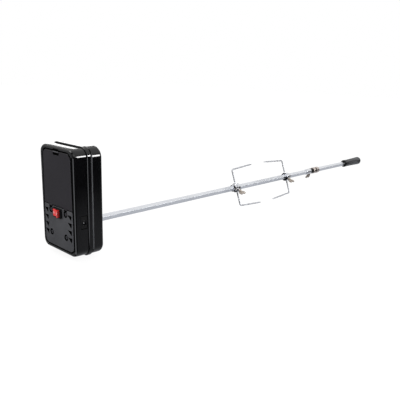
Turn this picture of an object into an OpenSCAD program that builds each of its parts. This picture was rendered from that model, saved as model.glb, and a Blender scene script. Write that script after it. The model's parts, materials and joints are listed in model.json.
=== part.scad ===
// Battery driven rotisserie spit roaster: a motor case turning a spit with two forks.
// +Y runs along the spit away from the motor case, +Z is up, +X is to the
// right when facing the control panel. The origin lies on the spit axis at the
// back face of the motor case. All sizes are in millimetres.

/* [Motor case] */
// Width of the front shell
case_w = 92; // [90:0.5:96]
// Height of the front shell
case_h = 160; // [158:0.5:166]
// Corner radius of the front shell
case_r = 13; // [11:0.5:15]
// Rounding of the front edge
front_round = 4; // [3:0.5:5]
// Rounding of the back edge
rear_round = 5; // [4:0.5:6]
// How far the seam band stands proud of the front shell
band_proud = 2; // [1:0.25:2.5]
// Wall thickness of the shells
wall = 2.5; // [2:0.25:3]

/* [Front face] */
// Height of the joint between battery cover and control panel
cover_z = 70.4; // [69.5:0.1:71]
// Half width of the panel opening at its lower end
panel_half_low = 41; // [40:0.25:41.5]
// Half width of the panel opening at its upper end
panel_half_top = 39; // [38.5:0.25:40]
// Gap between the opening's edge and the two inserts
panel_gap = 2; // [1:0.25:2]
// Width of the rocker switch bezel
bezel_w = 21.6; // [21:0.2:23]
// How far the switch bezel stands out
bezel_h = 3; // [1.5:0.25:3.5]
// Angle the rocker leans at rest
rocker_tilt = 11; // [8:0.5:11]

/* [Gear train] */
// Teeth on every small pinion
pinion_t = 10; // [10:1:10]
// Teeth on the first, second and output wheels
wheel_t = 40; // [40:1:40]
// Teeth on the third wheel
wheel3_t = 36; // [36:1:36]
// Thinning of each tooth flank for backlash
backlash = 0.06; // [0.05:0.01:0.1]

/* [Spit] */
// Side of the square spit bar
bar = 8; // [7:0.5:8]
// Distance from the case to the far end of the handle
spit_end = 900; // [860:10:960]
// Rest angle of the fork plane from vertical
spit_turn = 21; // [0:1:45]
// Length of the handle
handle_len = 82; // [76:1:90]

/* [Forks] */
// Position of the first fork
fork_1_y = 365; // [340:1:366]
// Position of the second fork
fork_2_y = 544; // [543:1:560]
// Distance of the prongs from the spit axis
fork_r = 38.5; // [34:0.5:42]
// Length of the prongs
prong_len = 69; // [60:1:70]
// Diameter of the prong wire
wire_d = 3; // [2.5:0.25:3]
// Outward lean of the prongs in degrees
prong_lean = 3.5; // [0:0.5:4]

/* [Spit bushing] */
// Position of the bushing's screw
bush_y = 652; // [640:1:680]
// Radius of the running groove
groove_r = 5.9; // [5.9:0.1:6.4]

/* [Hidden] */
$fn = 48;
gap = 0.05;         // clearance between neighbouring parts
sides = [-1, 1];    // left, right

// The case frame has its origin at the bottom centre of the front shell's face,
// Y running back and Z up. Names ending in _xz hold [x, z] places in it.
case_d = 48;        // full depth of the case
axis_h = 38.5;      // height of the spit axis
front_d = 21.5;     // depth of the front shell
band_d = 6;         // depth of the seam band's outer part
rear_lip_y = 29;    // front edge of the rear shell's outer part
face_in_y = 4.7;    // inner side of the front wall
panel_t = 2.2;      // thickness of cover and control panel
panel_margin = 5;   // panel opening to the case's top and bottom
panel_r = 11;       // corner radius of the panel opening
case_posts_xz = [for (z = [14, case_h - 14], x = sides*(case_w/2 - 5.8)) [x, z]];
case_head_y = case_d - 4;   // seat of the case screw heads
panel_screws_xz = [for (z = [62.5, 27], x = sides*20) [x, z]];
bracket_screws_xz = [for (x = sides*12) [x, 96]];
vents_x = [-33.2, 30.6];
vents_z = [60, 48.6, 37.2, 25.9];

// cover hinge and latch
hinge_y = 0.8;
hinge_z = 69.2;
hinge_x = sides*20;
hinge_slot_half = 4.8;
hinge_slot_z = 66.8;    // lower end of the hinge slots
latch_half = 8;

// battery bay
bay_half = 35.4;
bay_z = [75, 150];
cell_x = 17.6;
cell_r = 16.6;
cell_len = 61;
contact_t = 0.55;
contact_y = [14, 31];
stud_y = [19, 27];      // depth range of the contact studs

// switch and power jack
bezel_half = bezel_w/2;
switch_z = 61;
pivot_y = 0.8;
blade_x = sides*5;
jack_yz = [15.5, 52];
jack_face_x = case_w/2;

// Gear train. Mesh i joins the pinion on shaft i to the wheel on shaft i + 1;
// shaft 0 is the motor and shaft 4 the output.
tooth_modules = [0.5, 0.6, 0.7, 0.9];
wheels = [wheel_t, wheel_t, wheel3_t, wheel_t];
mesh_angles = [10, -45, -100, 160];   // from each wheel towards its pinion
pressure_angle = 25;
layer_y = [for (i = [0:3]) 22.5 + 5*i];
layer_t = 4;
function shaft_at(i) = i == 4 ? [0, axis_h] : shaft_at(i + 1)
  + tooth_modules[i]*(pinion_t + wheels[i])/2*[cos(mesh_angles[i]), sin(mesh_angles[i])];
shafts_xz = [for (i = [0:4]) shaft_at(i)];
motor_xz = shafts_xz[0];
output_xz = shafts_xz[4];
pins_xz = [for (i = [1:3]) shafts_xz[i]];
plate_y1 = 20;      // front of the front gear plate
plate_y2 = 42.5;    // front of the rear gear plate
plate_t = 1.5;
pillars_xz = [[-34, 10.5], [24, 10.5], [26, 53], [-34, 63]];
motor_screws_xz = [for (s = sides) motor_xz + [s*7, 0]];
motor_terminals_xz = [for (s = sides) motor_xz + [s*8, 2]];
lead_r = 0.8;

// spit
spit_tip_y = -23;
spit_taper = 14;            // length of the bar's tapered tip
bar_end_y = spit_end - 8;
screw_tip = bar/2 + 0.06;   // wing screw tips, from the spit axis

// colours shared by several nodes
case_black = [0.045, 0.045, 0.05];
contact_metal = [0.8, 0.78, 0.72];
brass = [0.85, 0.7, 0.35];
plate_grey = [0.7, 0.71, 0.73];
gear_white = [0.9, 0.9, 0.86];
bronze = [0.72, 0.5, 0.28];
fork_steel = [0.8, 0.81, 0.83];
wing_metal = [0.75, 0.7, 0.64];

// ---------- helpers ----------

// from the case frame to the part's frame
module in_case() { translate([0, -case_d, -axis_h]) children(); }

module at(xz) { translate([xz[0], 0, xz[1]]) children(); }

// 2D child in x, z extruded along Y
module extrude_y(from, to) {
  translate([0, to, 0]) rotate([90, 0, 0]) linear_extrude(to - from) children();
}

// cylinder along Y
module rod(xz, from, to, radius) {
  translate([xz[0], from, xz[1]]) rotate([-90, 0, 0]) cylinder(r = radius, h = to - from);
}
module rods(places, from, to, radius) { for (xz = places) rod(xz, from, to, radius); }

// cylinder along X
module rod_x(yz, from, to, radius) {
  translate([from, yz[0], yz[1]]) rotate([0, 90, 0]) cylinder(r = radius, h = to - from);
}

// box from its [low, high] range on each axis
module box(x, y, z) {
  translate([x[0], y[0], z[0]]) cube([x[1] - x[0], y[1] - y[0], z[1] - z[0]]);
}
function span(centre, half) = [centre - half, centre + half];

// cross recess of a screw head
module cross_slot(xz, y, half, depth) {
  for (angle = [0, 90]) translate([xz[0], y, xz[1]]) rotate([0, angle, 0])
    box(span(0, half), [0, depth], span(0, 0.35));
}

function arc(centre, radius, start, end, steps = 6) = [for (i = [0:steps])
  let (t = start + (end - start)*i/steps) centre + radius*[cos(t), sin(t)]];
// rounded trapezoid outline, given its half widths at bottom and top
function trapezoid(low, high, bottom, top, radius) = concat(
  arc([low - radius, bottom + radius], radius, -90, 0),
  arc([high - radius, top - radius], radius, 0, 90),
  arc([-high + radius, top - radius], radius, 90, 180),
  arc([-low + radius, bottom + radius], radius, 180, 270));
module slab(width, bottom, top, radius, from, to) {
  extrude_y(from, to) polygon(trapezoid(width/2, width/2, bottom, top, radius));
}
// slab with the front shell's outline moved inwards
module shell_slab(inset, from, to, extra_r = 0) {
  slab(case_w - 2*inset, inset, case_h - inset, case_r - inset + extra_r, from, to);
}
// slab with the rear shell's outline moved inwards
module rear_slab(inset, from, to) {
  slab(case_w + 3 - 2*inset, -1 + inset, case_h + 1.5 - inset, case_r + 3 - inset, from, to);
}
// slab with the panel opening's outline moved inwards
module panel_slab(inset, from, to) {
  extrude_y(from, to) polygon(trapezoid(panel_half_low - inset, panel_half_top - inset,
    panel_margin + inset, case_h - panel_margin - inset, panel_r - inset));
}

// turned profile about the Y axis: points are [radius, y]
module turned(points) {
  rotate([-90, 0, 0]) mirror([0, 1, 0]) rotate_extrude() polygon(points);
}
// spit frame: fork plane vertical, then turned to the rest angle
module on_spit(y = 0) { rotate([0, -spit_turn, 0]) translate([0, y, 0]) children(); }
// square prism of the bar's section, standing on its corner
module square_bar(clearance, from, to) {
  side = span(0, bar/2 + clearance);
  rotate([0, 45, 0]) box(side, [from, to], side);
}

// ---------- motor case shells ----------

module front_outer() {
  hull() for (t = [0, 30, 60, 90]) {
    y = front_round*(1 - cos(t));
    shell_slab(front_round*(1 - sin(t)), y, t == 90 ? front_d : y + 0.2);
  }
}

module switch_hole(to) {
  box(span(0, bezel_half - 0.5), [-1, to], span(switch_z, 6.7));
}

module front_housing() {
  color(case_black) in_case() difference() {
    union() {
      difference() {
        front_outer();
        shell_slab(wall, face_in_y, front_d + 1);
      }
      intersection() {
        rods(case_posts_xz, face_in_y - 0.5, 27, 3);
        shell_slab(wall - 0.5, 0, 28);
      }
      rods(panel_screws_xz, face_in_y - 0.5, plate_y1 - gap, 3.4);
    }
    panel_slab(0, -1, panel_t + 0.2);
    // battery bay opening
    slab(2*bay_half, 73, 152, 3, 0, face_in_y + 1);
    switch_hole(face_in_y + 1);
    for (x = vents_x, z = vents_z)
      box(span(x, 4.1), [0, face_in_y + 1], [z - 3.2, z + 2.8]);
    rods(panel_screws_xz, -1, plate_y1 + 1, 1.7);
    rods(case_posts_xz, 12, 30, 1.3);
    for (x = hinge_x)
      box(span(x, hinge_slot_half), [1.5, face_in_y + 1], [hinge_slot_z, 73.5]);
    // thumb scoop above the battery cover's latch
    box(span(0, latch_half), [-1, 1.9], [153, 156.6]);
    // shallow recess and hole for the power jack
    box([jack_face_x - 0.9, jack_face_x + 1], [9, 20.4], [43.5, 63.5]);
    rod_x(jack_yz, jack_face_x - 5, jack_face_x + 3, 4.1);
  }
}

module seam_band() {
  color(case_black) in_case() difference() {
    union() {
      hull() {
        shell_slab(0.5 - band_proud, front_d + gap, front_d + band_d);
        shell_slab(-band_proud, front_d + 0.6, front_d + band_d - 0.5);
      }
      // sleeve reaching into both shells
      shell_slab(wall + 0.1, 18.5, front_d + 1, 0.1);
      shell_slab(wall + 0.1, front_d + 1, 31, 0.1);
    }
    shell_slab(wall + 1.5, 17, 33, 0.1);
    rods(case_posts_xz, 17, 33, 3.3);
    // notch around the power jack
    box([35, 43.4], [17, 24], span(jack_yz[1], 7.5));
  }
}

module rear_outer() {
  round_y = case_d - rear_round;
  hull() {
    slab(case_w + 0.6, 0.5, case_h + 0.2, case_r + 1.6, rear_lip_y, rear_lip_y + 0.3);
    rear_slab(0, rear_lip_y + 1.6, round_y);
    for (t = [30, 60, 90]) {
      y = round_y + rear_round*sin(t);
      rear_slab(rear_round*(1 - cos(t)), y - 0.2, y);
    }
  }
}

module rear_housing() {
  color(case_black) in_case() difference() {
    union() {
      difference() {
        union() {
          rear_outer();
          shell_slab(0.5, front_d + band_d + gap, rear_lip_y + 1);
        }
        shell_slab(wall, 27, case_d - wall);
      }
      intersection() {
        rods(case_posts_xz, 27.1, case_d - 1, 3.2);
        shell_slab(wall - 0.5, 27, case_d - 1);
      }
      rods(bracket_screws_xz, 42.6, case_d - 1, 3.6);
      // hanger rails behind the case, joined by a bar at the top
      for (s = sides) {
        box(span(s*28, 2), [case_d - 1, case_d + 5], [84, 140]);
        box(span(s*26, 4), [case_d + 3, case_d + 5.5], [84, 140]);
      }
      box(span(0, 30), [case_d - 1, case_d + 5.5], [137, 141]);
    }
    rods(case_posts_xz, 26, case_d + 1, 1.7);
    rods(case_posts_xz, case_head_y, case_d + 1, 3.1);
    rod(output_xz, case_d - wall - 1, case_d + 1, 9.8);
    rods(bracket_screws_xz, 43.5, case_d + 1, 1.6);
  }
}

// full front insert; the battery cover and control panel are cut from it
module panel_blank() { panel_slab(panel_gap, 0, panel_t); }

module control_panel() {
  color([0.2, 0.2, 0.215]) in_case() difference() {
    panel_blank();
    box(span(0, 60), [-1, 3], [cover_z - 1, 200]);
    switch_hole(3);
    // triangular vents, point down
    for (x = vents_x, z = vents_z) translate([x, 0, z])
      extrude_y(-1, 3) polygon([[-4.2, 2.8], [4.2, 2.8], [3.2, -3.2]]);
    rods(panel_screws_xz, -1, 3, 1.7);
    rods(panel_screws_xz, -1, 1.6, 5);
    for (x = hinge_x) box(span(x, hinge_slot_half), [-1, 3], [hinge_slot_z, 71]);
  }
}

module panel_screws() {
  head_y = 0.5;
  head_r = 3.3;
  head_h = 1.08;
  color([0.1, 0.1, 0.11]) in_case() for (xz = panel_screws_xz) difference() {
    union() {
      rod(xz, head_y, head_y + head_h, head_r);
      rod(xz, head_y + head_h - 0.1, plate_y1 + 1.4, 1.45);
    }
    cross_slot(xz, head_y - 0.1, head_r*0.6, head_h*0.55);
  }
}

module case_screws() {
  color([0.5, 0.5, 0.52]) in_case() for (xz = case_posts_xz) difference() {
    union() {
      rod(xz, case_head_y + gap, case_d - 1.8, 2.8);
      rod(xz, 18, case_head_y + 0.1, 1.25);
    }
    cross_slot(xz, case_d - 2.8, 1.7, 2);
  }
}

module battery_cover() {
  color([0.12, 0.12, 0.13]) in_case() {
    difference() {
      panel_blank();
      box(span(0, 60), [-1, 3], [0, cover_z]);
      // finger pocket under the latch lip, and a slit at each end of the lip
      box(span(0, latch_half), [-1, 1.5], [147.6, 151.2]);
      for (s = sides) box(span(s*(latch_half + 0.25), 0.35), [-1, 3], [150.4, 155]);
    }
    // stiffening ribs behind the cover
    for (x = sides*30) box(span(x, 0.8), [panel_t - 0.1, 3.6], [80, 145]);
    // latch nose behind the lip
    box(span(0, 6), [panel_t - 0.1, 4.2], [149.8, 151.7]);
    // pivot lugs
    for (x = hinge_x) {
      box(span(x, 4), [0.15, 1.45], [hinge_z, cover_z + 0.5]);
      rod_x([hinge_y, hinge_z], x - 4, x + 4, 0.75);
    }
  }
}

// ---------- battery bay ----------

module battery_tray() {
  color([0.16, 0.16, 0.17]) in_case() difference() {
    box(span(0, bay_half + 1.4), [face_in_y + 0.1, 42], [bay_z[0] - 1.6, bay_z[1] + 1.6]);
    // the cavity leaves a rib between the cells and one in each back corner
    difference() {
      box(span(0, bay_half), [0, 40.6], bay_z);
      box(span(0, 0.35), [0, 20], [74, 148]);
      for (x = sides*bay_half) box(span(x, 1.2), [36, 41], [74, 151]);
    }
    rods(case_posts_xz, 0, 50, 3.6);
    // slots for the contact tails
    for (x = sides*cell_x) box(span(x, 2), [38, 43], [72, 77]);
  }
}

// the left cell has its stud up, the right one down
module battery_cells() {
  end = cell_len/2;
  // [radius, height] from the middle of the cell
  profile = [[0, -end + 0.6], [12, -end + 0.6], [13, -end], [cell_r - 0.8, -end],
    [cell_r, -end + 0.8], [cell_r, end - 2.4], [cell_r - 0.8, end - 1.6],
    [4.8, end - 1.6], [4.8, end], [0, end]];
  color([0.35, 0.37, 0.4]) in_case() for (s = sides)
    translate([s*cell_x, 22.8, 110.5]) rotate([s > 0 ? 180 : 0, 0, 0])
      rotate_extrude() polygon(profile);
}

// folded springy tongue rising (up = 1) or hanging (up = -1) from z; points are [y, z]
module tongue(x, z, up) {
  translate([x - 3, 0, 0]) rotate([90, 0, 90]) linear_extrude(6) polygon([
    [15, z], [31, z], [31, z + up*0.5], [24, z + up*4.2], [16, z + up*4.4],
    [16, z + up*4], [23.6, z + up*3.8], [29.8, z + up*0.5], [15, z + up*0.5]]);
}

module contact_bridge() {
  top = bay_z[1] - gap;
  color(contact_metal) in_case() {
    box(span(0, 26), contact_y, [top - contact_t, top]);
    tongue(cell_x, 149.6, -1);
    box(span(-cell_x, 4), stud_y, [143, 149.6]);
  }
}

// plate on the bay's floor, with a tail leading out through the back
module floor_contact(side) {
  floor_z = bay_z[0] + gap;
  z = [floor_z, floor_z + contact_t];
  box(span(side*17.5, 7.5), contact_y, z);
  box(span(side*cell_x, 1.4), [30.5, 41.5], z);
}
module contact_positive() {
  color(contact_metal) in_case() {
    floor_contact(1);
    box(span(cell_x, 4), stud_y, [75.5, 79.4]);
  }
}
module contact_negative() {
  color(contact_metal) in_case() {
    floor_contact(-1);
    tongue(-cell_x, 75.3, 1);
  }
}

// ---------- switch and jack ----------

module switch_body() {
  color([0.05, 0.05, 0.055]) in_case() difference() {
    union() {
      box(span(0, bezel_half), [-bezel_h, -gap], span(switch_z, 7.5));
      box(span(0, bezel_half - 0.7), [-0.5, 13.5], span(switch_z, 6.5));
    }
    box(span(0, bezel_half - 1.4), [-bezel_h - 1, 9.5], span(switch_z, 5.6));
    translate([0, pivot_y, switch_z - 7]) cylinder(r = 0.8, h = 14);
    for (x = blade_x) box(span(x, 2.5), [9, 15], span(switch_z, 0.6));
  }
}

module switch_pivot() {
  color([0.7, 0.7, 0.72]) in_case()
    translate([0, pivot_y, switch_z - 6.4]) cylinder(r = 0.75, h = 12.8);
}

module switch_terminals() {
  color(brass) in_case() for (x = blade_x) difference() {
    box(span(x, 2.4), [9.6, 19.4], span(switch_z, 0.4));
    translate([x, 17.4, switch_z - 1]) cylinder(r = 0.8, h = 2);
  }
}

// rocker key, its face bent about the middle; the right end stands out at rest
module switch_rocker() {
  half = bezel_half - 2;
  face = bezel_h + 2.7;   // from the pivot forward to the face's outer ends
  // [x, y] from the pivot
  outline = [[-half + 0.5, 0.4 - face], [-half + 1.2, -face], [0, 1.2 - face],
    [half - 1.2, -face], [half - 0.5, 0.4 - face], [half, -2.5], [4.5, 1.6],
    [2.2, 4.4], [-2.2, 4.4], [-4.5, 1.6], [-half, -2.5]];
  color([0.8, 0.06, 0.04]) in_case()
    translate([0, pivot_y, switch_z]) rotate([0, 0, -rocker_tilt]) difference() {
      translate([0, 0, -5.3]) linear_extrude(10.6) polygon(outline);
      translate([0, 0, -7]) cylinder(r = 0.8, h = 14);
    }
}

module dc_jack() {
  color([0.06, 0.06, 0.065]) in_case() difference() {
    union() {
      rod_x(jack_yz, jack_face_x - 8, jack_face_x - 0.9, 4);
      box([jack_face_x - 11.4, jack_face_x - wall - 0.1], span(jack_yz[0], 5),
        span(jack_yz[1], 5.5));
    }
    rod_x(jack_yz, jack_face_x - 9.5, jack_face_x + 2.5, 2.9);
  }
}
module dc_jack_pin() {
  color([0.8, 0.65, 0.3]) in_case()
    rod_x(jack_yz, jack_face_x - 9.45, jack_face_x - 1.85, 1.05);
}

// ---------- gearbox ----------

module gear_plate(y, bush_hole_r) {
  difference() {
    extrude_y(y, y + plate_t)
      polygon([[-37, 7.5], [27, 7.5], [30, 12], [30, 66], [-37, 66]]);
    rod(output_xz, y - 1, y + 3, bush_hole_r);
    rods(pins_xz, y - 1, y + 3, 1.02);
    rods(pillars_xz, y - 1, y + 3, 1.6);
  }
}
module gear_plate_front() {
  from = plate_y1 - 1;
  to = plate_y1 + 3;
  color(plate_grey) in_case() difference() {
    gear_plate(plate_y1, 7.6);
    rod(motor_xz, from, to, 3.3);
    rods(panel_screws_xz, from, to, 1.5);
    rods(motor_screws_xz, from, to, 1.1);
    // notch behind the switch
    box(span(0, 9), [15, 24], [53, 68]);
  }
}
module gear_plate_rear() { color(plate_grey) in_case() gear_plate(plate_y2, 9.7); }

module plate_pillars() {
  color([0.62, 0.62, 0.64]) in_case() for (xz = pillars_xz) difference() {
    rod(xz, plate_y1 + plate_t + gap/2, plate_y2 - gap/2, 3);
    rod(xz, 20, 44, 1.3);
  }
}
// a screw into each end of every pillar
module plate_screws() {
  back = plate_y2 + plate_t;
  color([0.72, 0.72, 0.74]) in_case() {
    rods(pillars_xz, 34, back + 0.1, 1.25);
    rods(pillars_xz, back + gap, back + 1.3, 2.6);
    rods(pillars_xz, plate_y1 - 0.1, 29, 1.25);
    rods(pillars_xz, plate_y1 - 1.4, plate_y1 - gap, 2.6);
  }
}
module gear_pins() {
  color([0.75, 0.75, 0.77]) in_case()
    rods(pins_xz, plate_y1 + 0.2, plate_y2 + plate_t - 0.2, 1);
}

module motor_can() {
  color([0.72, 0.72, 0.74]) in_case() difference() {
    union() {
      rod(motor_xz, 8.5, plate_y1 - gap, 12.2);
      rod(motor_xz, 19, plate_y1 + 1.2, 3.1);
    }
    rod(motor_xz, 8, 18.9, 11.6);
    rod(motor_xz, 5, 23, 1.04);
    rods(motor_screws_xz, 18, 21, 0.85);
  }
}
// each magnet is what a box leaves of a ring on one side
module motor_magnets() {
  color([0.2, 0.2, 0.22]) in_case() for (s = sides) difference() {
    rod(motor_xz, 10, 18.2, 11.5);
    rod(motor_xz, 9, 19, 9.6);
    at(motor_xz) box(span(-s*5, 8), [8, 20], span(0, 13));
  }
}
module motor_end_cap() {
  color([0.9, 0.9, 0.88]) in_case() difference() {
    union() {
      rod(motor_xz, 7.2, 8.4, 12);
      rod(motor_xz, 8.3, 9.6, 11.5);
      rod(motor_xz, 5.8, 7.3, 4);
    }
    rod(motor_xz, 6.8, 12, 1.04);
    for (xz = motor_terminals_xz) at(xz) box(span(0, 0.45), [6, 12], span(0, 1.3));
  }
}
module motor_terminals() {
  color(brass) in_case() for (xz = motor_terminals_xz)
    at(xz) box(span(0, 0.4), [5.4, 9.6], span(0, 1.2));
}
module motor_screws() {
  back = plate_y1 + plate_t;
  color([0.6, 0.6, 0.62]) in_case() {
    rods(motor_screws_xz, 19, back + 0.1, 0.8);
    rods(motor_screws_xz, back + gap, back + 0.85, 1.5);
  }
}
module motor_shaft() { color([0.8, 0.8, 0.82]) in_case() rod(motor_xz, 6.9, 26.8, 1); }

// hub with three T-shaped poles
module motor_armature() {
  pole_y = [10.8, 17.4];
  color([0.72, 0.42, 0.2]) in_case() difference() {
    union() {
      for (angle = [0, 120, 240]) at(motor_xz) rotate([0, angle, 0]) {
        box(span(0, 1.5), pole_y, [0, 7.5]);
        intersection() {
          box(span(0, 6), pole_y, [5.5, 9.5]);
          rotate([-90, 0, 0]) cylinder(r = 9, h = 20);
        }
      }
      rod(motor_xz, 10.6, 17.6, 3);
    }
    rod(motor_xz, 9, 19, 1.02);
  }
}

// involute flank point at a radius; half is the tooth's half angle at the base circle
function flank(base_r, radius, side, half) =
  let (roll = acos(base_r/radius), angle = half - (tan(roll)*180/PI - roll))
  [radius*cos(side*angle), radius*sin(side*angle)];
// tooth k of a gear; tooth 0 is centred on the +x direction
function tooth(size, count, k) = let (
    pitch_r = size*count/2,
    base_r = pitch_r*cos(pressure_angle),
    tip_r = pitch_r + 0.8*size,
    root_r = pitch_r - 1.05*size,
    half = 90/count - backlash/pitch_r*180/PI
      + (tan(pressure_angle)*180/PI - pressure_angle),
    start_r = max(base_r + 0.001, root_r),
    flanks = concat(
      [for (radius = [start_r, pitch_r, tip_r]) flank(base_r, radius, -1, half)],
      [for (radius = [tip_r, pitch_r, start_r]) flank(base_r, radius, 1, half)]),
    root = root_r*[cos(half), sin(half)],
    points = root_r < base_r ? concat([[root[0], -root[1]]], flanks, [root]) : flanks,
    c = cos(360*k/count), s = sin(360*k/count))
  [for (p = points) [p[0]*c - p[1]*s, p[0]*s + p[1]*c]];
module toothed(size, count, xz, from, to, turn) {
  at(xz) extrude_y(from, to) rotate(turn)
    polygon([for (k = [0:count - 1]) each tooth(size, count, k)]);
}
module wheel(mesh) {
  toothed(tooth_modules[mesh], wheels[mesh], shafts_xz[mesh + 1],
    layer_y[mesh], layer_y[mesh] + layer_t, mesh_angles[mesh]);
}
// turned half a tooth so that it meshes with its wheel
module pinion(mesh, from, to) {
  toothed(tooth_modules[mesh], pinion_t, shafts_xz[mesh], from, to,
    mesh_angles[mesh] + 180 + 180/pinion_t);
}
// wheel and pinion moulded together, running on a pin of radius 1
module compound(shaft) {
  wheel_y = layer_y[shaft - 1];
  end_y = layer_y[shaft] + layer_t;
  difference() {
    union() {
      wheel(shaft - 1);
      pinion(shaft, wheel_y + layer_t - 0.5, end_y);
    }
    rod(shafts_xz[shaft], wheel_y - 1, end_y + 1, 1.05);
  }
}

module motor_pinion() {
  color(brass) in_case() difference() {
    pinion(0, 22.3, 26.4);
    rod(motor_xz, 20, 28, 1.02);
  }
}
module gear_1() { color(gear_white) in_case() compound(1); }
module gear_2() { color(gear_white) in_case() compound(2); }
module gear_3() { color(brass) in_case() compound(3); }
module output_gear() {
  color(brass) in_case() difference() {
    wheel(3);
    rod(output_xz, 30, 50, 8.03);
  }
}
module output_socket() {
  color([0.66, 0.66, 0.68]) in_case() difference() {
    union() {
      rod(output_xz, 20.3, 23.2, 6);
      rod(output_xz, 23.1, 41.9, 8);
      rod(output_xz, 41.8, 48.6, 7.6);
    }
    at(output_xz) on_spit() square_bar(0.2, 24, 50);
  }
}
module output_bush_front() {
  color(bronze) in_case() difference() {
    union() {
      rod(output_xz, plate_y1 + gap, 22, 7.55);
      rod(output_xz, plate_y1 + plate_t + gap, 22.9, 8.6);
    }
    rod(output_xz, 19, 24, 6.05);
  }
}
module output_bush_rear() {
  color(bronze) in_case() difference() {
    rod(output_xz, plate_y2 - 0.4, 48.2, 9.6);
    rod(output_xz, 41, 50, 7.65);
  }
}

// insulated lead: straight runs that overlap at the bends
module lead(points) {
  for (i = [0:len(points) - 2])
    let (start = points[i], run = points[i + 1] - start, length = norm(run))
      translate(start) rotate([0, acos(run[2]/length), atan2(run[1], run[0])])
        translate([0, 0, -0.45*lead_r])
          cylinder(r = lead_r, h = length + 0.9*lead_r, $fn = 8);
}
module lead_red() {
  color([0.7, 0.06, 0.05]) in_case() lead([
    [cell_x, 42.9, 75.3], [cell_x, 44.6, 72], [34.5, 44.4, 70.5],
    [34.5, 18, 69.2], [5.6, 17.6, 68.6], [5, 17.4, 62.2]]);
}
module lead_black() {
  color([0.04, 0.04, 0.045]) in_case() lead([
    [-cell_x, 42.9, 75.3], [-cell_x, 44.6, 72], [-39, 44.4, 69.6],
    [-39.4, 12, 67], [-30, 6.2, 40], [motor_xz[0] - 9, 6.4, motor_xz[1] + 6.5]]);
}

// ---------- spit, forks, bushing ----------

// the square bar, its corners trimmed and its tip tapered by turned shapes
module spit_bar() {
  color([0.86, 0.87, 0.89]) on_spit() intersection() {
    square_bar(0, spit_tip_y, bar_end_y);
    union() {
      translate([0, spit_tip_y - 0.01, 0]) rotate([-90, 0, 0])
        cylinder(r1 = 1.2, r2 = 8, h = spit_taper);
      translate([0, spit_tip_y + spit_taper - 0.02, 0]) rotate([-90, 0, 0])
        cylinder(r = 8, h = spit_end + 20);
    }
  }
}

module handle_grip() {
  start = spit_end - handle_len;
  color([0.09, 0.09, 0.1]) on_spit() difference() {
    turned([[0, start], [8.4, start], [9.2, start + 0.8], [9.2, start + 5],
      [8.2, start + 6.2], [8.2, start + 9], [8.9, start + 12], [9.9, start + 60],
      [10.4, spit_end - 7], [10.4, spit_end - 4], [9.4, spit_end - 1.2],
      [7.6, spit_end], [0, spit_end]]);
    square_bar(gap, start - 1, bar_end_y + 0.1);
    // eight lengthwise flutes
    for (angle = [22.5:45:337.5]) rotate([0, angle, 0])
      translate([0, start + 14, 11.3]) rotate([-91.1, 0, 0])
        cylinder(r = 1.9, h = handle_len - 24, $fn = 24);
  }
}

// hub ring with a neck on the side away from the prongs; side is the prongs' Y direction
module fork_hub(y, side) {
  on_spit(y) difference() {
    union() {
      turned([[0, -3.6], [9, -3.6], [9.8, -2.8], [9.8, 2.8], [9, 3.6], [0, 3.6]]);
      turned(side > 0 ? [[0, -13], [6.6, -13], [7.6, -3], [0, -3]]
                      : [[0, 3], [7.6, 3], [6.6, 13], [0, 13]]);
    }
    square_bar(0.1, -20, 20);
    rotate([0, 135, 0]) cylinder(r = 2.5, h = 20);
    for (angle = [0, 180]) rotate([0, angle, 0])
      translate([0, 0, 7.4]) cylinder(r = wire_d/2 + 0.03, h = 6);
  }
}

// one wire: radial arm, forged corner, then the straight prong and its point
module prong() {
  wire_r = wire_d/2;
  point_len = 8;
  straight = prong_len - point_len;
  arm_start = 7.5;
  translate([0, 0, arm_start]) cylinder(r = wire_r, h = fork_r - arm_start);
  translate([0, 0, fork_r]) {
    sphere(r = wire_r*1.15);
    rotate([prong_lean - 90, 0, 0]) {
      cylinder(r = wire_r, h = straight);
      translate([0, 0, straight]) cylinder(r1 = wire_r, r2 = 0.35, h = point_len);
    }
  }
}
module fork_prongs(y, side) {
  on_spit(y) for (angle = [0, 180]) rotate([0, angle, 0]) {
    if (side > 0) prong();
    else mirror([0, 1, 0]) prong();
  }
}

// wing screw along the local +Z, its collar starting near seat; the wings lie in
// the local YZ plane
module wing_screw(seat) {
  translate([0, 0, screw_tip]) cylinder(r = 2.45, h = seat - screw_tip);
  translate([0, 0, seat - 0.5]) cylinder(r = 3.6, h = 3.2);
  translate([0, 0, seat + 2]) cylinder(r = 2.6, h = 3.4);
  for (s = sides) translate([-1.2, s*4.5, seat + 6.8]) rotate([0, 90, 0])
    cylinder(r = 4.4, h = 2.4);
  box(span(0, 1.2), span(0, 3.6), [seat + 3, seat + 8]);
}
module fork_wing_screw(y) { on_spit(y) rotate([0, 135, 0]) wing_screw(12); }

module fork_1_hub() { color(fork_steel) fork_hub(fork_1_y, 1); }
module fork_1_prongs() { color(fork_steel) fork_prongs(fork_1_y, 1); }
module fork_1_wing_screw() { color(wing_metal) fork_wing_screw(fork_1_y); }
module fork_2_hub() { color(fork_steel) fork_hub(fork_2_y, -1); }
module fork_2_prongs() { color(fork_steel) fork_prongs(fork_2_y, -1); }
module fork_2_wing_screw() { color(wing_metal) fork_wing_screw(fork_2_y); }

module spit_bushing() {
  color([0.72, 0.64, 0.56]) on_spit(bush_y) difference() {
    turned([[0, -22], [5.8, -22], [6.4, -21], [6.4, 8], [7.4, 9], [7.4, 15],
      [groove_r, 16], [groove_r, 21], [7.4, 22], [7.4, 30], [6.8, 31], [0, 31]]);
    square_bar(0.1, -30, 40);
    rotate([0, -135, 0]) cylinder(r = 2.5, h = 20);
  }
}
module bushing_wing_screw() {
  color(wing_metal) on_spit(bush_y) rotate([0, -135, 0]) wing_screw(9);
}

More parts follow.
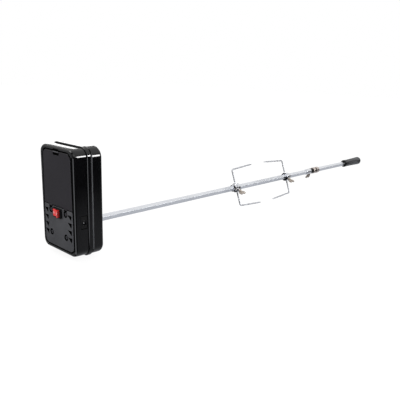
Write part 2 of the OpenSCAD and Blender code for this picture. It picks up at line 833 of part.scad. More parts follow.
// ---------- output ----------
front_housing();
seam_band();
rear_housing();
control_panel();
panel_screws();
case_screws();
battery_cover();
battery_tray();
battery_cells();
contact_bridge();
contact_positive();
contact_negative();
switch_body();
switch_rocker();
switch_pivot();
switch_terminals();
dc_jack();
dc_jack_pin();
gear_plate_front();
gear_plate_rear();
plate_pillars();
plate_screws();
gear_pins();
motor_can();
motor_magnets();
motor_end_cap();
motor_terminals();
motor_screws();
motor_shaft();
motor_armature();
motor_pinion();
gear_1();
gear_2();
gear_3();
output_gear();
output_socket();
output_bush_front();
output_bush_rear();
lead_red();
lead_black();
spit_bar();
handle_grip();
fork_1_hub();
fork_1_prongs();
fork_1_wing_screw();
fork_2_hub();
fork_2_prongs();
fork_2_wing_screw();
spit_bushing();
bushing_wing_screw();
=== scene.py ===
"""Battery rotisserie motor with its spit, two forks, a bushing and a handle.

Row frame: metres, +Z up, the origin on the spit axis at the rear face of the motor case. The case
reaches 48 mm towards -Y, which is its front; the spit runs out along +Y to the handle.
"""
import bpy, bmesh, math, json, random
from mathutils import Vector, Matrix


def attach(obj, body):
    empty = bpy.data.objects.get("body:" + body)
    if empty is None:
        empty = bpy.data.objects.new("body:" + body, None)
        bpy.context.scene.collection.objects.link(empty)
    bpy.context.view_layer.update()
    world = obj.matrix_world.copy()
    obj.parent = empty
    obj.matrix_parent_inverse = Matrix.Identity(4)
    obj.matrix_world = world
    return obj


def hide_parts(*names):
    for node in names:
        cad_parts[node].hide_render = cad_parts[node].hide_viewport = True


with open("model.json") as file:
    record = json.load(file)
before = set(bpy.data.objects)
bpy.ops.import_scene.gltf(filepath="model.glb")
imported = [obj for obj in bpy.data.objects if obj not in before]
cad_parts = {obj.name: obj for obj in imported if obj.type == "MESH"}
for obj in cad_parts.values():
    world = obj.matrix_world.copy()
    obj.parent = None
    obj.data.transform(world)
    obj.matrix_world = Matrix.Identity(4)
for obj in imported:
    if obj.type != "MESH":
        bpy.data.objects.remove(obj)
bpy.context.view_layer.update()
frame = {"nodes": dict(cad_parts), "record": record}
random.seed(7)

PI = math.pi
MM = 0.001
CASE_D = 48.0                   # depth of the case
AXIS_H = 38.5                   # height of the spit axis above the bottom of the case
TURN = math.radians(21.0)       # rest angle of the fork plane
COS_TURN, SIN_TURN = math.cos(TURN), math.sin(TURN)


def case_pt(x, y, z):
    """Case frame (bottom centre of the front face, mm) to the row frame in metres."""
    return Vector((x, y - CASE_D, z - AXIS_H)) * MM


def spit_pt(x, y, z):
    """Spit frame (fork plane vertical, mm) to the row frame in metres."""
    return Vector((x * COS_TURN - z * SIN_TURN, y, x * SIN_TURN + z * COS_TURN)) * MM


# ------------------------------------------------------------------ shader building
MATS = {}


class Shader:
    """A node tree under construction; an input takes a number, a colour or a socket."""

    def __init__(self, tree):
        self.tree = tree
        tree.nodes.clear()

    def feed(self, socket, value):
        if isinstance(value, bpy.types.NodeSocket):
            self.tree.links.new(value, socket)
        else:
            socket.default_value = value

    def node(self, kind, inputs=None, **settings):
        # settings go first: the data type decides which inputs a Mix node offers
        made = self.tree.nodes.new("ShaderNode" + kind)
        for key, value in settings.items():
            setattr(made, key, value)
        for key, value in (inputs or {}).items():
            self.feed(made.inputs[key], value)
        return made

    def coords(self, scale=(1, 1, 1)):
        place_in = self.node("TexCoord").outputs["Object"]
        return self.node("Mapping", {"Scale": scale, "Vector": place_in}).outputs["Vector"]

    def noise(self, vector, scale, detail=3.0, rough=0.55):
        return self.node("TexNoise", {"Scale": scale, "Detail": detail, "Roughness": rough,
                                      "Vector": vector}).outputs["Fac"]

    def ramp(self, factor, stops):
        """stops: (position, colour)"""
        made = self.node("ValToRGB", {"Fac": factor})
        elements = made.color_ramp.elements
        while len(elements) < len(stops):
            elements.new(0.5)
        for element, (position, colour) in zip(elements, stops):
            element.position = position
            element.color = (*colour, 1)
        return made.outputs["Color"]

    def remap(self, value, source, target=(0.0, 1.0), kind="LINEAR"):
        """Maps the source range onto the target range."""
        return self.node("MapRange", {
            "From Min": source[0], "From Max": source[1], "To Min": target[0],
            "To Max": target[1], "Value": value}, interpolation_type=kind).outputs["Result"]

    def smooth(self, value, start, end, target=(0.0, 1.0)):
        return self.remap(value, (start, end), target, "SMOOTHSTEP")

    def calc(self, operation, first, second):
        return self.node("Math", {0: first, 1: second}, operation=operation).outputs[0]

    def mix(self, first, second, factor, kind="FLOAT"):
        """first where the factor is 0, second where it is 1"""
        return self.node("Mix", {"Factor": factor, "A": first, "B": second},
                         data_type=kind).outputs["Result"]

    def tint(self, base, colour, factor):
        return self.mix(base, (*colour, 1), factor, "RGBA")


class Surface(Shader):
    """A Principled material, kept in MATS under its key."""

    def __init__(self, key, name):
        material = bpy.data.materials.new(name)
        material.use_nodes = True
        super().__init__(material.node_tree)
        out = self.node("OutputMaterial")
        self.bsdf = self.node("BsdfPrincipled")
        self.feed(out.inputs[0], self.bsdf.outputs[0])
        MATS[key] = material

    def set(self, values):
        for key, value in values.items():
            self.feed(self.bsdf.inputs[key], value)

    def bump(self, heights, strength, distance):
        """heights: (socket, weight)"""
        total = None
        for height, weight in heights:
            term = self.calc("MULTIPLY", height, weight)
            total = term if total is None else self.calc("ADD", total, term)
        made = self.node("Bump", {"Strength": strength, "Distance": distance, "Height": total})
        self.set({"Normal": made.outputs[0]})

    def edge_wear(self, amount):
        """0 on flats, rising to the amount where bevelled and true normals part."""
        rounded = self.node("Bevel", {"Radius": 0.0006}, samples=4)
        true = self.node("NewGeometry")
        dot = self.node("VectorMath", {0: rounded.outputs[0], 1: true.outputs["Normal"]},
                        operation="DOT_PRODUCT")
        return self.remap(dot.outputs["Value"], (0.80, 0.995), (amount, 0.0))


MID = (0.3, 0.7)        # the part of a noise's range that carries its variation


def plastic(key, name, tones, rough, grain, wave=None, spec=0.5, wear=None, dust=None):
    """tones: dark and light colour; rough: range; grain: scale and bump strength;
    wave: scale and weight of a slower ripple; wear: pale edges; dust: strength of grey specks"""
    mat = Surface(key, name)
    where = mat.coords()
    broad = mat.noise(where, 18.0, detail=4.0)
    fine = mat.noise(where, grain[0], rough=0.6)
    colour = mat.ramp(broad, list(zip(MID, tones)))
    if wear:
        patches = mat.remap(mat.noise(where, 220.0, detail=4.0), (0.35, 0.65), (0.2, 1.0))
        worn = mat.calc("MULTIPLY", mat.edge_wear(wear), patches)
        colour = mat.tint(colour, [min(1, c * 2.2 + 0.012) for c in tones[1]], worn)
    if dust:
        specks = mat.remap(mat.noise(where, 2600.0, detail=2.0), (0.70, 0.78), (0.0, dust))
        colour = mat.tint(colour, (0.3, 0.3, 0.3), specks)
    smear = mat.noise(where, 35.0, detail=5.0, rough=0.6)
    mat.set({"Base Color": colour, "Roughness": mat.remap(smear, MID, rough),
             "Specular IOR Level": spec, "Coat Roughness": 0.06})
    heights = [(fine, 1.0)]
    if wave:
        heights.append((mat.noise(where, wave[0], detail=2.0), wave[1]))
    mat.bump(heights, strength=grain[1], distance=0.00012)
    return mat


def metal(key, name, tones, rough, grain, stretch=(1, 1, 1), spots=None, aniso=0.0, wave=None):
    """tones, rough and grain as in plastic; stretch: coordinate scale drawing the grain out;
    spots: colour of small stains; wave: weight of a slower ripple"""
    mat = Surface(key, name)
    drawn, where = mat.coords(stretch), mat.coords()
    streak = mat.noise(drawn, grain[0], detail=4.0, rough=0.65)
    broad = mat.noise(where, 25.0, detail=4.0)
    blend = mat.calc("ADD", mat.calc("MULTIPLY", streak, 0.6), mat.calc("MULTIPLY", broad, 0.4))
    colour = mat.ramp(blend, list(zip((0.32, 0.68), tones)))
    if spots:
        colour = mat.tint(colour, spots, mat.remap(mat.noise(where, 420.0), (0.66, 0.72)))
    mat.set({"Base Color": colour, "Metallic": 1.0, "Anisotropic": aniso,
             "Roughness": mat.remap(blend, MID, rough)})
    heights = [(streak, 1.0)]
    if wave:
        heights.append((mat.noise(where, 90.0, detail=2.0), wave))
    mat.bump(heights, strength=grain[1], distance=0.00006)


def handle_plastic():
    """Satin black with lighter scuffs drawn out along the grip."""
    mat = plastic("handle", "handle_black_satin",
                  tones=((0.006, 0.006, 0.0072), (0.016, 0.016, 0.0185)), rough=(0.24, 0.40),
                  grain=(1700.0, 0.35), wave=(120.0, 0.5), wear=0.8)
    base = mat.bsdf.inputs["Base Color"].links[0].from_socket
    scuffs = mat.noise(mat.coords((1, 0.035, 1)), 260.0, rough=0.6)
    scuffed = mat.tint(base, (0.085, 0.088, 0.10), mat.remap(scuffs, (0.52, 0.70)))
    mat.set({"Base Color": scuffed})


def copper_winding():
    """Enamelled wire wound in layers."""
    mat = Surface("copper", "copper_winding")
    turns = mat.node("TexWave", {"Scale": 700.0, "Distortion": 0.6, "Vector": mat.coords()},
                     wave_type="BANDS", bands_direction="Y").outputs["Fac"]
    mat.set({"Base Color": mat.ramp(turns, [(0.0, (0.25, 0.08, 0.03)), (1.0, (0.72, 0.33, 0.14))]),
             "Metallic": 0.85, "Roughness": 0.3})
    mat.bump([(turns, 1.0)], strength=0.6, distance=0.0002)


def cell_jacket():
    """Battery jacket: a lighter grey top band over a dark body, faintly rippled."""
    mat = Surface("cell", "cell_jacket")
    split = mat.node("SeparateXYZ", {0: mat.node("TexCoord").outputs["Object"]})
    height = mat.remap(split.outputs["Z"], (0.041, 0.103))
    ripple = mat.noise(mat.coords(), 160.0, detail=4.0)
    bands = [(0.0, (0.10, 0.10, 0.11)), (0.66, (0.10, 0.10, 0.11)),
             (0.70, (0.30, 0.31, 0.33)), (1.0, (0.36, 0.37, 0.39))]
    mat.set({"Base Color": mat.ramp(height, bands), "Metallic": 0.6,
             "Roughness": mat.remap(ripple, MID, (0.22, 0.4))})
    mat.bump([(ripple, 1.0)], strength=0.15, distance=0.0002)


def red_plastic(key, name, tones):
    """Moulded switch key with a little light bleeding through."""
    mat = Surface(key, name)
    where = mat.coords()
    mat.set({"Base Color": mat.ramp(mat.noise(where, 60.0), list(zip(MID, tones))),
             "Roughness": mat.remap(mat.noise(where, 150.0, detail=4.0), MID, (0.12, 0.26)),
             "Subsurface Weight": 0.15, "Subsurface Radius": (0.004, 0.0006, 0.0004),
             "Coat Weight": 0.4})
    mat.bump([(mat.noise(where, 1200.0, detail=2.0), 1.0)], strength=0.06, distance=0.0001)


# ------------------------------------------------------------------ materials
plastic("case", "case_black_gloss", tones=((0.0010, 0.0010, 0.0012), (0.0022, 0.0022, 0.0026)),
        rough=(0.05, 0.12), grain=(1400.0, 0.05), wave=(70.0, 1.2), wear=0.25)
# painted shade: a near-black matte that stands in for the shade in the pocket, the gaps, the jack
# recess walls and the screw wells
plastic("groove", "groove_black_matte", tones=((0.0006, 0.0006, 0.0007), (0.0014, 0.0014, 0.0015)),
        rough=(0.6, 0.75), grain=(1400.0, 0.2), spec=0.02)
plastic("recess", "recess_black_spark", tones=((0.0030, 0.0030, 0.0033), (0.0055, 0.0055, 0.006)),
        rough=(0.45, 0.6), grain=(1700.0, 0.5), spec=0.11)
plastic("cover", "cover_charcoal_satin",
        tones=((0.0112, 0.0096, 0.0126), (0.0158, 0.0136, 0.0176)),
        rough=(0.36, 0.46), grain=(3200.0, 0.22), spec=0.26, wear=0.5)
plastic("panel", "panel_grey_textured", tones=((0.034, 0.0345, 0.0385), (0.060, 0.0605, 0.066)),
        rough=(0.42, 0.58), grain=(1500.0, 0.75), spec=0.3, wear=0.4, dust=0.22)
plastic("inner", "inner_black_matte", tones=((0.008, 0.008, 0.009), (0.014, 0.014, 0.015)),
        rough=(0.45, 0.6), grain=(1100.0, 0.3))
plastic("jack", "jack_black", tones=((0.0025, 0.0025, 0.003), (0.005, 0.005, 0.0055)),
        rough=(0.3, 0.42), grain=(1800.0, 0.15), spec=0.2)
plastic("bezel", "switch_bezel_black", tones=((0.002, 0.002, 0.0024), (0.004, 0.004, 0.0045)),
        rough=(0.3, 0.42), grain=(1800.0, 0.12), spec=0.2)
plastic("guard", "handle_guard_black", tones=((0.0015, 0.0015, 0.0018), (0.0035, 0.0035, 0.004)),
        rough=(0.14, 0.24), grain=(1700.0, 0.15), wave=(120.0, 0.4), spec=0.35)
handle_plastic()
metal("chrome_bar", "bar_chrome_drawn", tones=((0.77, 0.795, 0.84), (0.90, 0.915, 0.95)),
      rough=(0.22, 0.32), grain=(900.0, 0.03), stretch=(1, 0.02, 1), aniso=0.3)
metal("bar_edge", "bar_edge_burnished", tones=((0.62, 0.64, 0.68), (0.74, 0.755, 0.79)),
      rough=(0.48, 0.60), grain=(900.0, 0.03), stretch=(1, 0.02, 1))
metal("chrome", "fork_chrome", tones=((0.74, 0.75, 0.78), (0.90, 0.91, 0.94)),
      rough=(0.06, 0.16), grain=(500.0, 0.05), wave=0.5)
metal("wire", "fork_wire_plated", tones=((0.40, 0.41, 0.435), (0.52, 0.53, 0.56)),
      rough=(0.56, 0.68), grain=(420.0, 0.08), stretch=(1, 0.06, 1))
metal("nickel", "nickel_warm", tones=((0.50, 0.43, 0.39), (0.78, 0.71, 0.67)),
      rough=(0.18, 0.34), grain=(600.0, 0.10), spots=(0.36, 0.29, 0.25))
# painted shade: near-black metal for shaded parts of the fork hubs and the bushing
metal("shade_metal", "painted_shade_metal", tones=((0.005, 0.005, 0.0055), (0.018, 0.0175, 0.0175)),
      rough=(0.3, 0.45), grain=(500.0, 0.12))
metal("thumb", "thumb_screw_browned", tones=((0.24, 0.205, 0.175), (0.64, 0.58, 0.52)),
      rough=(0.26, 0.42), grain=(420.0, 0.16), spots=(0.10, 0.07, 0.05))
# painted highlight along the sloping front edge of the rear shell
plastic("seam", "seam_edge_painted_highlight", tones=((0.075, 0.077, 0.084), (0.12, 0.122, 0.13)),
        rough=(0.25, 0.4), grain=(1600.0, 0.15))
# painted highlight: the latch lip lighter than the cover
plastic("lip", "latch_lip_painted_highlight", tones=((0.045, 0.044, 0.048), (0.07, 0.069, 0.074)),
        rough=(0.25, 0.35), grain=(2200.0, 0.2), spec=0.4)
metal("screw", "screw_black_oxide", tones=((0.10, 0.10, 0.11), (0.19, 0.19, 0.205)),
      rough=(0.3, 0.45), grain=(900.0, 0.2))
metal("zinc", "zinc_plated_steel", tones=((0.50, 0.51, 0.53), (0.70, 0.71, 0.74)),
      rough=(0.25, 0.42), grain=(500.0, 0.12), stretch=(1, 1, 0.1), spots=(0.45, 0.47, 0.52))
metal("steel", "ground_steel", tones=((0.55, 0.55, 0.57), (0.74, 0.74, 0.76)),
      rough=(0.18, 0.3), grain=(800.0, 0.1), stretch=(1, 0.05, 1))
metal("brass", "cut_brass", tones=((0.60, 0.42, 0.16), (0.82, 0.63, 0.30)),
      rough=(0.2, 0.34), grain=(700.0, 0.12))
metal("bronze", "sintered_bronze", tones=((0.40, 0.25, 0.12), (0.60, 0.41, 0.22)),
      rough=(0.38, 0.55), grain=(1500.0, 0.35))
metal("contact", "nickel_strip", tones=((0.60, 0.58, 0.52), (0.78, 0.76, 0.70)),
      rough=(0.2, 0.35), grain=(700.0, 0.08), stretch=(0.1, 1, 1))
metal("ferrite", "ferrite_magnet", tones=((0.05, 0.05, 0.055), (0.10, 0.10, 0.105)),
      rough=(0.5, 0.7), grain=(1300.0, 0.4))
plastic("nylon", "white_nylon", tones=((0.62, 0.61, 0.56), (0.78, 0.77, 0.72)),
        rough=(0.35, 0.5), grain=(900.0, 0.15))
plastic("lead_red", "lead_red", tones=((0.45, 0.015, 0.012), (0.6, 0.03, 0.02)),
        rough=(0.35, 0.5), grain=(900.0, 0.1))
plastic("lead_black", "lead_black", tones=((0.008, 0.008, 0.008), (0.02, 0.02, 0.02)),
        rough=(0.35, 0.5), grain=(900.0, 0.1))
copper_winding()
cell_jacket()
red_plastic("red", "switch_red_gloss", tones=((0.62, 0.010, 0.008), (0.80, 0.028, 0.02)))
# painted shade: darker red for the key's faces turned to +X
red_plastic("red_shaded_end", "switch_red_shaded_ends", tones=((0.16, 0.003, 0.003), (0.26, 0.007, 0.006)))
plastic("mark", "switch_mark_white", tones=((0.70, 0.68, 0.66), (0.82, 0.80, 0.78)),
        rough=(0.3, 0.45), grain=(900.0, 0.1))

# ------------------------------------------------------------------ mesh helpers
SMOOTH_LIMIT = math.radians(32.0)       # steeper edges stay sharp


def shade(mesh):
    bm = bmesh.new()
    bm.from_mesh(mesh)
    for face in bm.faces:
        face.smooth = True
    for edge in bm.edges:
        sharp = len(edge.link_faces) == 2 and edge.calc_face_angle(0.0) > SMOOTH_LIMIT
        edge.smooth = not sharp
    bm.to_mesh(mesh)
    bm.free()
    mesh.update()


def mesh_obj(name, verts, faces, mat=None):
    mesh = bpy.data.meshes.new(name)
    mesh.from_pydata([tuple(v) for v in verts], [], faces)
    bm = bmesh.new()
    bm.from_mesh(mesh)
    bmesh.ops.remove_doubles(bm, verts=bm.verts, dist=1e-7)
    bmesh.ops.recalc_face_normals(bm, faces=bm.faces)
    bm.to_mesh(mesh)
    bm.free()
    shade(mesh)
    obj = bpy.data.objects.new(name, mesh)
    bpy.context.scene.collection.objects.link(obj)
    if mat:
        mesh.materials.append(mat)
    return obj


def loft(rings, cap_start=False, cap_end=False, wrap=False):
    """Vertices and faces of a skin through rings of equal count."""
    n = len(rings[0])
    verts = [v for ring in rings for v in ring]
    faces = []
    for i in range(len(rings) if wrap else len(rings) - 1):
        a, b = i * n, ((i + 1) % len(rings)) * n
        for j in range(n):
            k = (j + 1) % n
            faces.append((a + j, a + k, b + k, b + j))
    if cap_start:
        faces.append(tuple(range(n)))
    if cap_end:
        faces.append(tuple((len(rings) - 1) * n + j for j in range(n)))
    return verts, faces


def capped(name, rings, mat=None):
    return mesh_obj(name, *loft(rings, True, True), mat)


def wrapped(name, rings, mat=None):
    return mesh_obj(name, *loft(rings, wrap=True), mat)


def freeze(obj):
    """Applies all modifiers into the mesh."""
    evaluated = obj.evaluated_get(bpy.context.evaluated_depsgraph_get())
    mesh = bpy.data.meshes.new_from_object(evaluated)
    old = obj.data
    obj.modifiers.clear()
    obj.data = mesh
    bpy.data.meshes.remove(old)


def clean(obj):
    bm = bmesh.new()
    bm.from_mesh(obj.data)
    bmesh.ops.remove_doubles(bm, verts=bm.verts, dist=2e-6)
    bmesh.ops.dissolve_degenerate(bm, edges=bm.edges, dist=1e-7)
    loose = [v for v in bm.verts if not v.link_faces]
    bmesh.ops.delete(bm, geom=loose, context="VERTS")
    bmesh.ops.recalc_face_normals(bm, faces=bm.faces)
    bm.to_mesh(obj.data)
    bm.free()
    shade(obj.data)


def cut(obj, cutters):
    """Subtracts the cutters and deletes them."""
    for cutter in cutters:
        mod = obj.modifiers.new("b", "BOOLEAN")
        mod.operation = "DIFFERENCE"
        mod.solver = "EXACT"
        mod.object = cutter
    freeze(obj)
    for cutter in cutters:
        mesh = cutter.data
        bpy.data.objects.remove(cutter)
        bpy.data.meshes.remove(mesh)
    clean(obj)


def bevel(obj, width, segments=2, angle=35.0):
    """width in mm; angle in degrees, the least that is bevelled"""
    mod = obj.modifiers.new("bv", "BEVEL")
    mod.width = width * MM
    mod.segments = segments
    mod.limit_method = "ANGLE"
    mod.angle_limit = math.radians(angle)
    mod.use_clamp_overlap = True
    mod.miter_outer = "MITER_ARC"
    freeze(obj)
    clean(obj)
    return obj


def join(objs, name):
    bpy.ops.object.select_all(action="DESELECT")
    for obj in objs:
        obj.select_set(True)
    whole = objs[0]
    bpy.context.view_layer.objects.active = whole
    if len(objs) > 1:
        bpy.ops.object.join()
    whole.name = name
    whole.data.name = name
    whole.select_set(False)
    return whole


def set_materials(obj, *keys):
    obj.data.materials.clear()
    add_materials(obj, *keys)


def add_materials(obj, *keys):
    for key in keys:
        obj.data.materials.append(MATS[key])


def case_centre(face):
    """Centre of a face in the case frame."""
    centre = face.center / MM
    return centre.x, centre.y + CASE_D, centre.z + AXIS_H


# reads the node name of each recorded subpart; nothing uses it
for part in frame["record"].get("subparts", []):
    node_name = part.get("node") or part.get("name")


def place(obj, body, node=None):
    """Lets the object ride on a moving body, in place of a CAD node if one is given."""
    mod = obj.modifiers.new("wn", "WEIGHTED_NORMAL")
    mod.mode = "FACE_AREA"
    mod.weight = 80
    mod.keep_sharp = True
    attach(obj, body)
    if node:
        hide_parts(node)


# ------------------------------------------------------------------ outlines and simple solids
def circle(radius, n, cx=0.0, cy=0.0):
    return [(cx + radius * math.cos(2 * PI * i / n), cy + radius * math.sin(2 * PI * i / n))
            for i in range(n)]


def arc(cx, cz, radius, start, end, n):
    """start and end in degrees"""
    angles = [math.radians(start + (end - start) * i / n) for i in range(n + 1)]
    return [(cx + radius * math.cos(a), cz + radius * math.sin(a)) for a in angles]


def rounded(lo, hi, z0, z1, r_lo, n=10, r_hi=None, side=0):
    """Rounded trapezoid, counter-clockwise from the lower right corner. lo and hi are the half
    widths at z0 and z1, n the steps per corner, side the extra points along each side."""
    a = max(r_lo, 0.05)
    b = a if r_hi is None else max(r_hi, 0.05)
    corners = [arc(lo - a, z0 + a, a, -90, 0, n), arc(hi - b, z1 - b, b, 0, 90, n),
               arc(-hi + b, z1 - b, b, 90, 180, n), arc(-lo + a, z0 + a, a, 180, 270, n)]
    points = []
    for i in range(4):
        points += corners[i]
        p, q = corners[i][-1], corners[(i + 1) % 4][0]
        for k in range(1, side + 1):
            t = k / (side + 1)
            points.append((p[0] + (q[0] - p[0]) * t, p[1] + (q[1] - p[1]) * t))
    return points


def fillet(points, radii, n=4, closed=True):
    """Rounds the corners of a 2D polyline; radii is one number or one per corner."""
    out = []
    count = len(points)
    for i in range(count):
        radius = radii[i] if isinstance(radii, list) else radii
        corner = Vector(points[i])
        if (not closed and i in (0, count - 1)) or radius <= 0:
            out.append(tuple(corner))
            continue
        back, ahead = Vector(points[i - 1]) - corner, Vector(points[(i + 1) % count]) - corner
        back_len, ahead_len = back.length, ahead.length
        back, ahead = back / back_len, ahead / ahead_len
        half = math.acos(max(-1, min(1, back.dot(ahead)))) / 2
        if half > math.radians(89):
            out.append(tuple(corner))
            continue
        reach = min(radius / math.tan(half), back_len * 0.49, ahead_len * 0.49)
        fitted = reach * math.tan(half)
        centre = corner + (back + ahead).normalized() * (fitted / math.sin(half))
        start, end = corner + back * reach, corner + ahead * reach
        a0 = math.atan2(start.y - centre.y, start.x - centre.x)
        a1 = math.atan2(end.y - centre.y, end.x - centre.x)
        sweep_angle = (a1 - a0 + PI) % (2 * PI) - PI
        for k in range(n + 1):
            t = a0 + sweep_angle * k / n
            out.append((centre.x + fitted * math.cos(t), centre.y + fitted * math.sin(t)))
    return out


def box(low, high, name="cutter"):
    x_ends, y_ends, z_ends = zip(low, high)
    verts = [case_pt(x, y, z) for x in x_ends for y in y_ends for z in z_ends]
    faces = [(0, 1, 3, 2), (4, 6, 7, 5), (0, 4, 5, 1), (2, 3, 7, 6), (0, 2, 6, 4), (1, 5, 7, 3)]
    return mesh_obj(name, verts, faces)


def prism_y(points, y0, y1, name="cutter"):
    return capped(name, [[case_pt(x, y, z) for x, z in points] for y in (y0, y1)])


def prism_z(points, z0, z1, name):
    return capped(name, [[case_pt(x, y, z) for x, y in points] for z in (z0, z1)], MATS["case"])


def cyl_y(cx, cz, radius, y0, y1, n=40):
    return prism_y(circle(radius, n, cx, cz), y0, y1)


def turned(profile, n, cx, cz):
    """Rings of (radius, y) round an axis along Y in the case frame."""
    return [[case_pt(x, y, z) for x, z in circle(r, n, cx, cz)] for r, y in profile]


def tube(outer, bore, y0, y1, x, z):
    profile = [(outer, y0), (outer, y1), (bore, y1), (bore, y0)]
    return wrapped("post", turned(profile, 28, x, z), MATS["case"])


def ring_x(radius, x, cy, cz, n):
    return [case_pt(x, y, z) for y, z in circle(radius, n, cy, cz)]


# ------------------------------------------------------------------ motor case, mm, case frame
CASE_W, CASE_H, CORNER_R = 92.0, 160.0, 13.0
FRONT_ROUND, REAR_ROUND, WALL = 4.0, 5.0, 2.5
# outlines: half width, bottom, top, corner radius
CASE_LINE = (CASE_W / 2, 0.0, CASE_H, CORNER_R)
SEAM_LINE = (CASE_W / 2 + 2.0, -2.0, CASE_H + 2.0, CORNER_R + 2.0)
REAR_LINE = (CASE_W / 2 + 1.5, -1.0, CASE_H + 1.5, CORNER_R + 3)
# front opening: half widths at the bottom and the top, bottom, top, corner radius
OPEN_LO, OPEN_HI, OPEN_Z0, OPEN_Z1, OPEN_R = 41.4, 39.4, 5.2, 155.0, 11.2

POSTS = [(-40.2, 14), (40.2, 14), (-40.2, 146), (40.2, 146)]          # case screws, x and z
PANEL_SCREWS = [(-20, 62.5), (20, 62.5), (-20, 27), (20, 27)]         # x and z
VENT_X, VENT_Z = [-33.2, 30.6], [60, 48.6, 37.2, 25.9]
TAB_X = [-20, 20]               # hinge tabs of the battery cover
BOSS_X, BOSS_Z = (-12, 12), 96  # bosses inside the rear wall
COVER_Z = 70.4                  # lower edge of the battery cover
PLATE_GAP = 2.4                 # from the opening's side to the inserts
JACK_Y, JACK_Z = 15.5, 52


def line_rings(stations, outline=CASE_LINE):
    """stations: (inset, y)"""
    half, z0, z1, radius = outline
    return [[case_pt(x, y, z) for x, z in
             rounded(half - i, half - i, z0 + i, z1 - i, radius - i, 12, side=6)]
            for i, y in stations]


def opening_rings(stations):
    return [[case_pt(x, y, z) for x, z in
             rounded(OPEN_LO - i, OPEN_HI - i, OPEN_Z0 + i, OPEN_Z1 - i, OPEN_R - i, 12, side=6)]
            for i, y in stations]


def jack_ring(radius, x, n=48):
    return ring_x(radius, x, JACK_Y, JACK_Z, n)


def switch_hole(y0, y1):
    return box((-10.3, y0, 54.3), (10.3, y1, 67.7))


def paint_front_shell(shell):
    """The pocket wall, the inner part of the right-hand rim and the walls of the jack recess get
    painted shade, matte black; the recess floor has its own finish.
    """
    add_materials(shell, "groove", "recess")
    for face in shell.data.polygons:
        x, y, z = case_centre(face)
        # pocket wall: painted shade
        if 0.6 < y < 4.8 and abs(x) < 42.2 and 3.9 < z < 156.1:
            face.material_index = 1
        # inner part of the right-hand rim: painted shade that narrows the rim's highlight
        elif y < 0.61 and 36 < x < 43.05 and 10 < z < 149:
            face.material_index = 1
        # jack recess walls: painted shade; the floor keeps the recess finish
        elif 44.6 < x < 45.88 and 8.95 < y < 20.45 and 43.4 < z < 63.6 \
                and abs(math.hypot(y - JACK_Y, z - JACK_Z) - 4.15) > 0.3:
            face.material_index = 2 if (45.1 < x < 45.3 and abs(face.normal.x) > 0.9) else 1


def front_shell():
    rings = opening_rings([(0.0, 4.6), (0.0, 0.85), (-0.06, 0.5), (-0.22, 0.22), (-0.5, 0.05),
                           (-0.8, 0.0)])
    stations = [(FRONT_ROUND, 0.0)]
    swell = 0.36            # inset left where the rounding ends
    for k in range(1, 10):
        t = math.radians(90 * k / 9)
        stations.append((swell + (FRONT_ROUND - swell) * (1 - math.sin(t)),
                         FRONT_ROUND * (1 - math.cos(t))))
    # the sides swell very slightly behind the rounding, then turn in along the inner wall
    stations += [(0.20, 6.0), (0.09, 8.0), (0.03, 10.0), (0, 12.5), (0, 21.0), (0.1, 21.35),
                 (0.4, 21.5), (WALL, 21.5), (WALL, 4.8), (WALL + 0.2, 4.6)]
    shell = wrapped("front_housing_v", rings + line_rings(stations), MATS["case"])
    # jack recess with a deeper step along three sides, jack hole, scoop at the top
    cut(shell, [box((45.2, 9, 43.5), (48, 20.4, 63.5)), box((44.7, 9, 43.5), (48, 9.9, 63.5)),
                box((44.7, 9, 62.6), (48, 20.4, 63.5)), box((44.7, 9, 43.5), (48, 20.4, 44.3)),
                capped("cutter", [jack_ring(4.15, 40, 40), jack_ring(4.15, 50, 40)]),
                prism_y(rounded(8, 8, 152.0, 156.8, 1.6, 5), -1, 1.7)])
    paint_front_shell(shell)
    return shell


def ledge():
    """Plate behind the inserts, all in painted shade black."""
    grow = 0.4
    plate = prism_y(rounded(OPEN_LO + grow, OPEN_HI + grow, OPEN_Z0 - grow, OPEN_Z1 + grow,
                            OPEN_R, 8), 2.45, 4.69, "ledge")
    cutters = [prism_y(rounded(35.4, 35.4, 73, 152, 3, 5), 0, 6), switch_hole(0, 6)]
    cutters += [box((x - 4.1, 0, z - 3.2), (x + 4.1, 6, z + 2.8)) for x in VENT_X for z in VENT_Z]
    cutters += [cyl_y(x, z, 1.7, 0, 6) for x, z in PANEL_SCREWS]
    cutters += [box((x - 4.8, 1.5, 66.8), (x + 4.8, 6, 73.5)) for x in TAB_X]
    cut(plate, cutters)
    # the whole plate is painted shade
    set_materials(plate, "groove")
    return plate


def front_housing():
    parts = [front_shell(), ledge()]
    parts += [tube(3.4, 1.7, 4.3, 19.9, x, z) for x, z in PANEL_SCREWS]
    parts += [tube(3.0, 1.3, 4.3, 26.9, x, z) for x, z in POSTS]
    place(join(parts, "front_housing_v"), "motor_case", "front_housing")


def seam_band():
    rings = line_rings([(0.75, 21.56), (0.68, 21.6), (0.10, 22.1), (0.0, 22.5), (0.0, 26.9),
                        (0.12, 27.25), (0.45, 27.45)], SEAM_LINE)
    inner, lip = WALL + 0.1, WALL + 1.5
    rings += line_rings([(inner, 27.45), (inner, 30.9), (lip, 30.9), (lip, 18.6), (inner, 18.6),
                         (inner, 21.58)])
    band = wrapped("seam_band_v", rings, MATS["case"])
    cut(band, [cyl_y(x, z, 3.3, 17, 33) for x, z in POSTS]
        + [box((35, 17, 44.5), (43.45, 24, 59.5))])
    place(band, "motor_case", "seam_band")


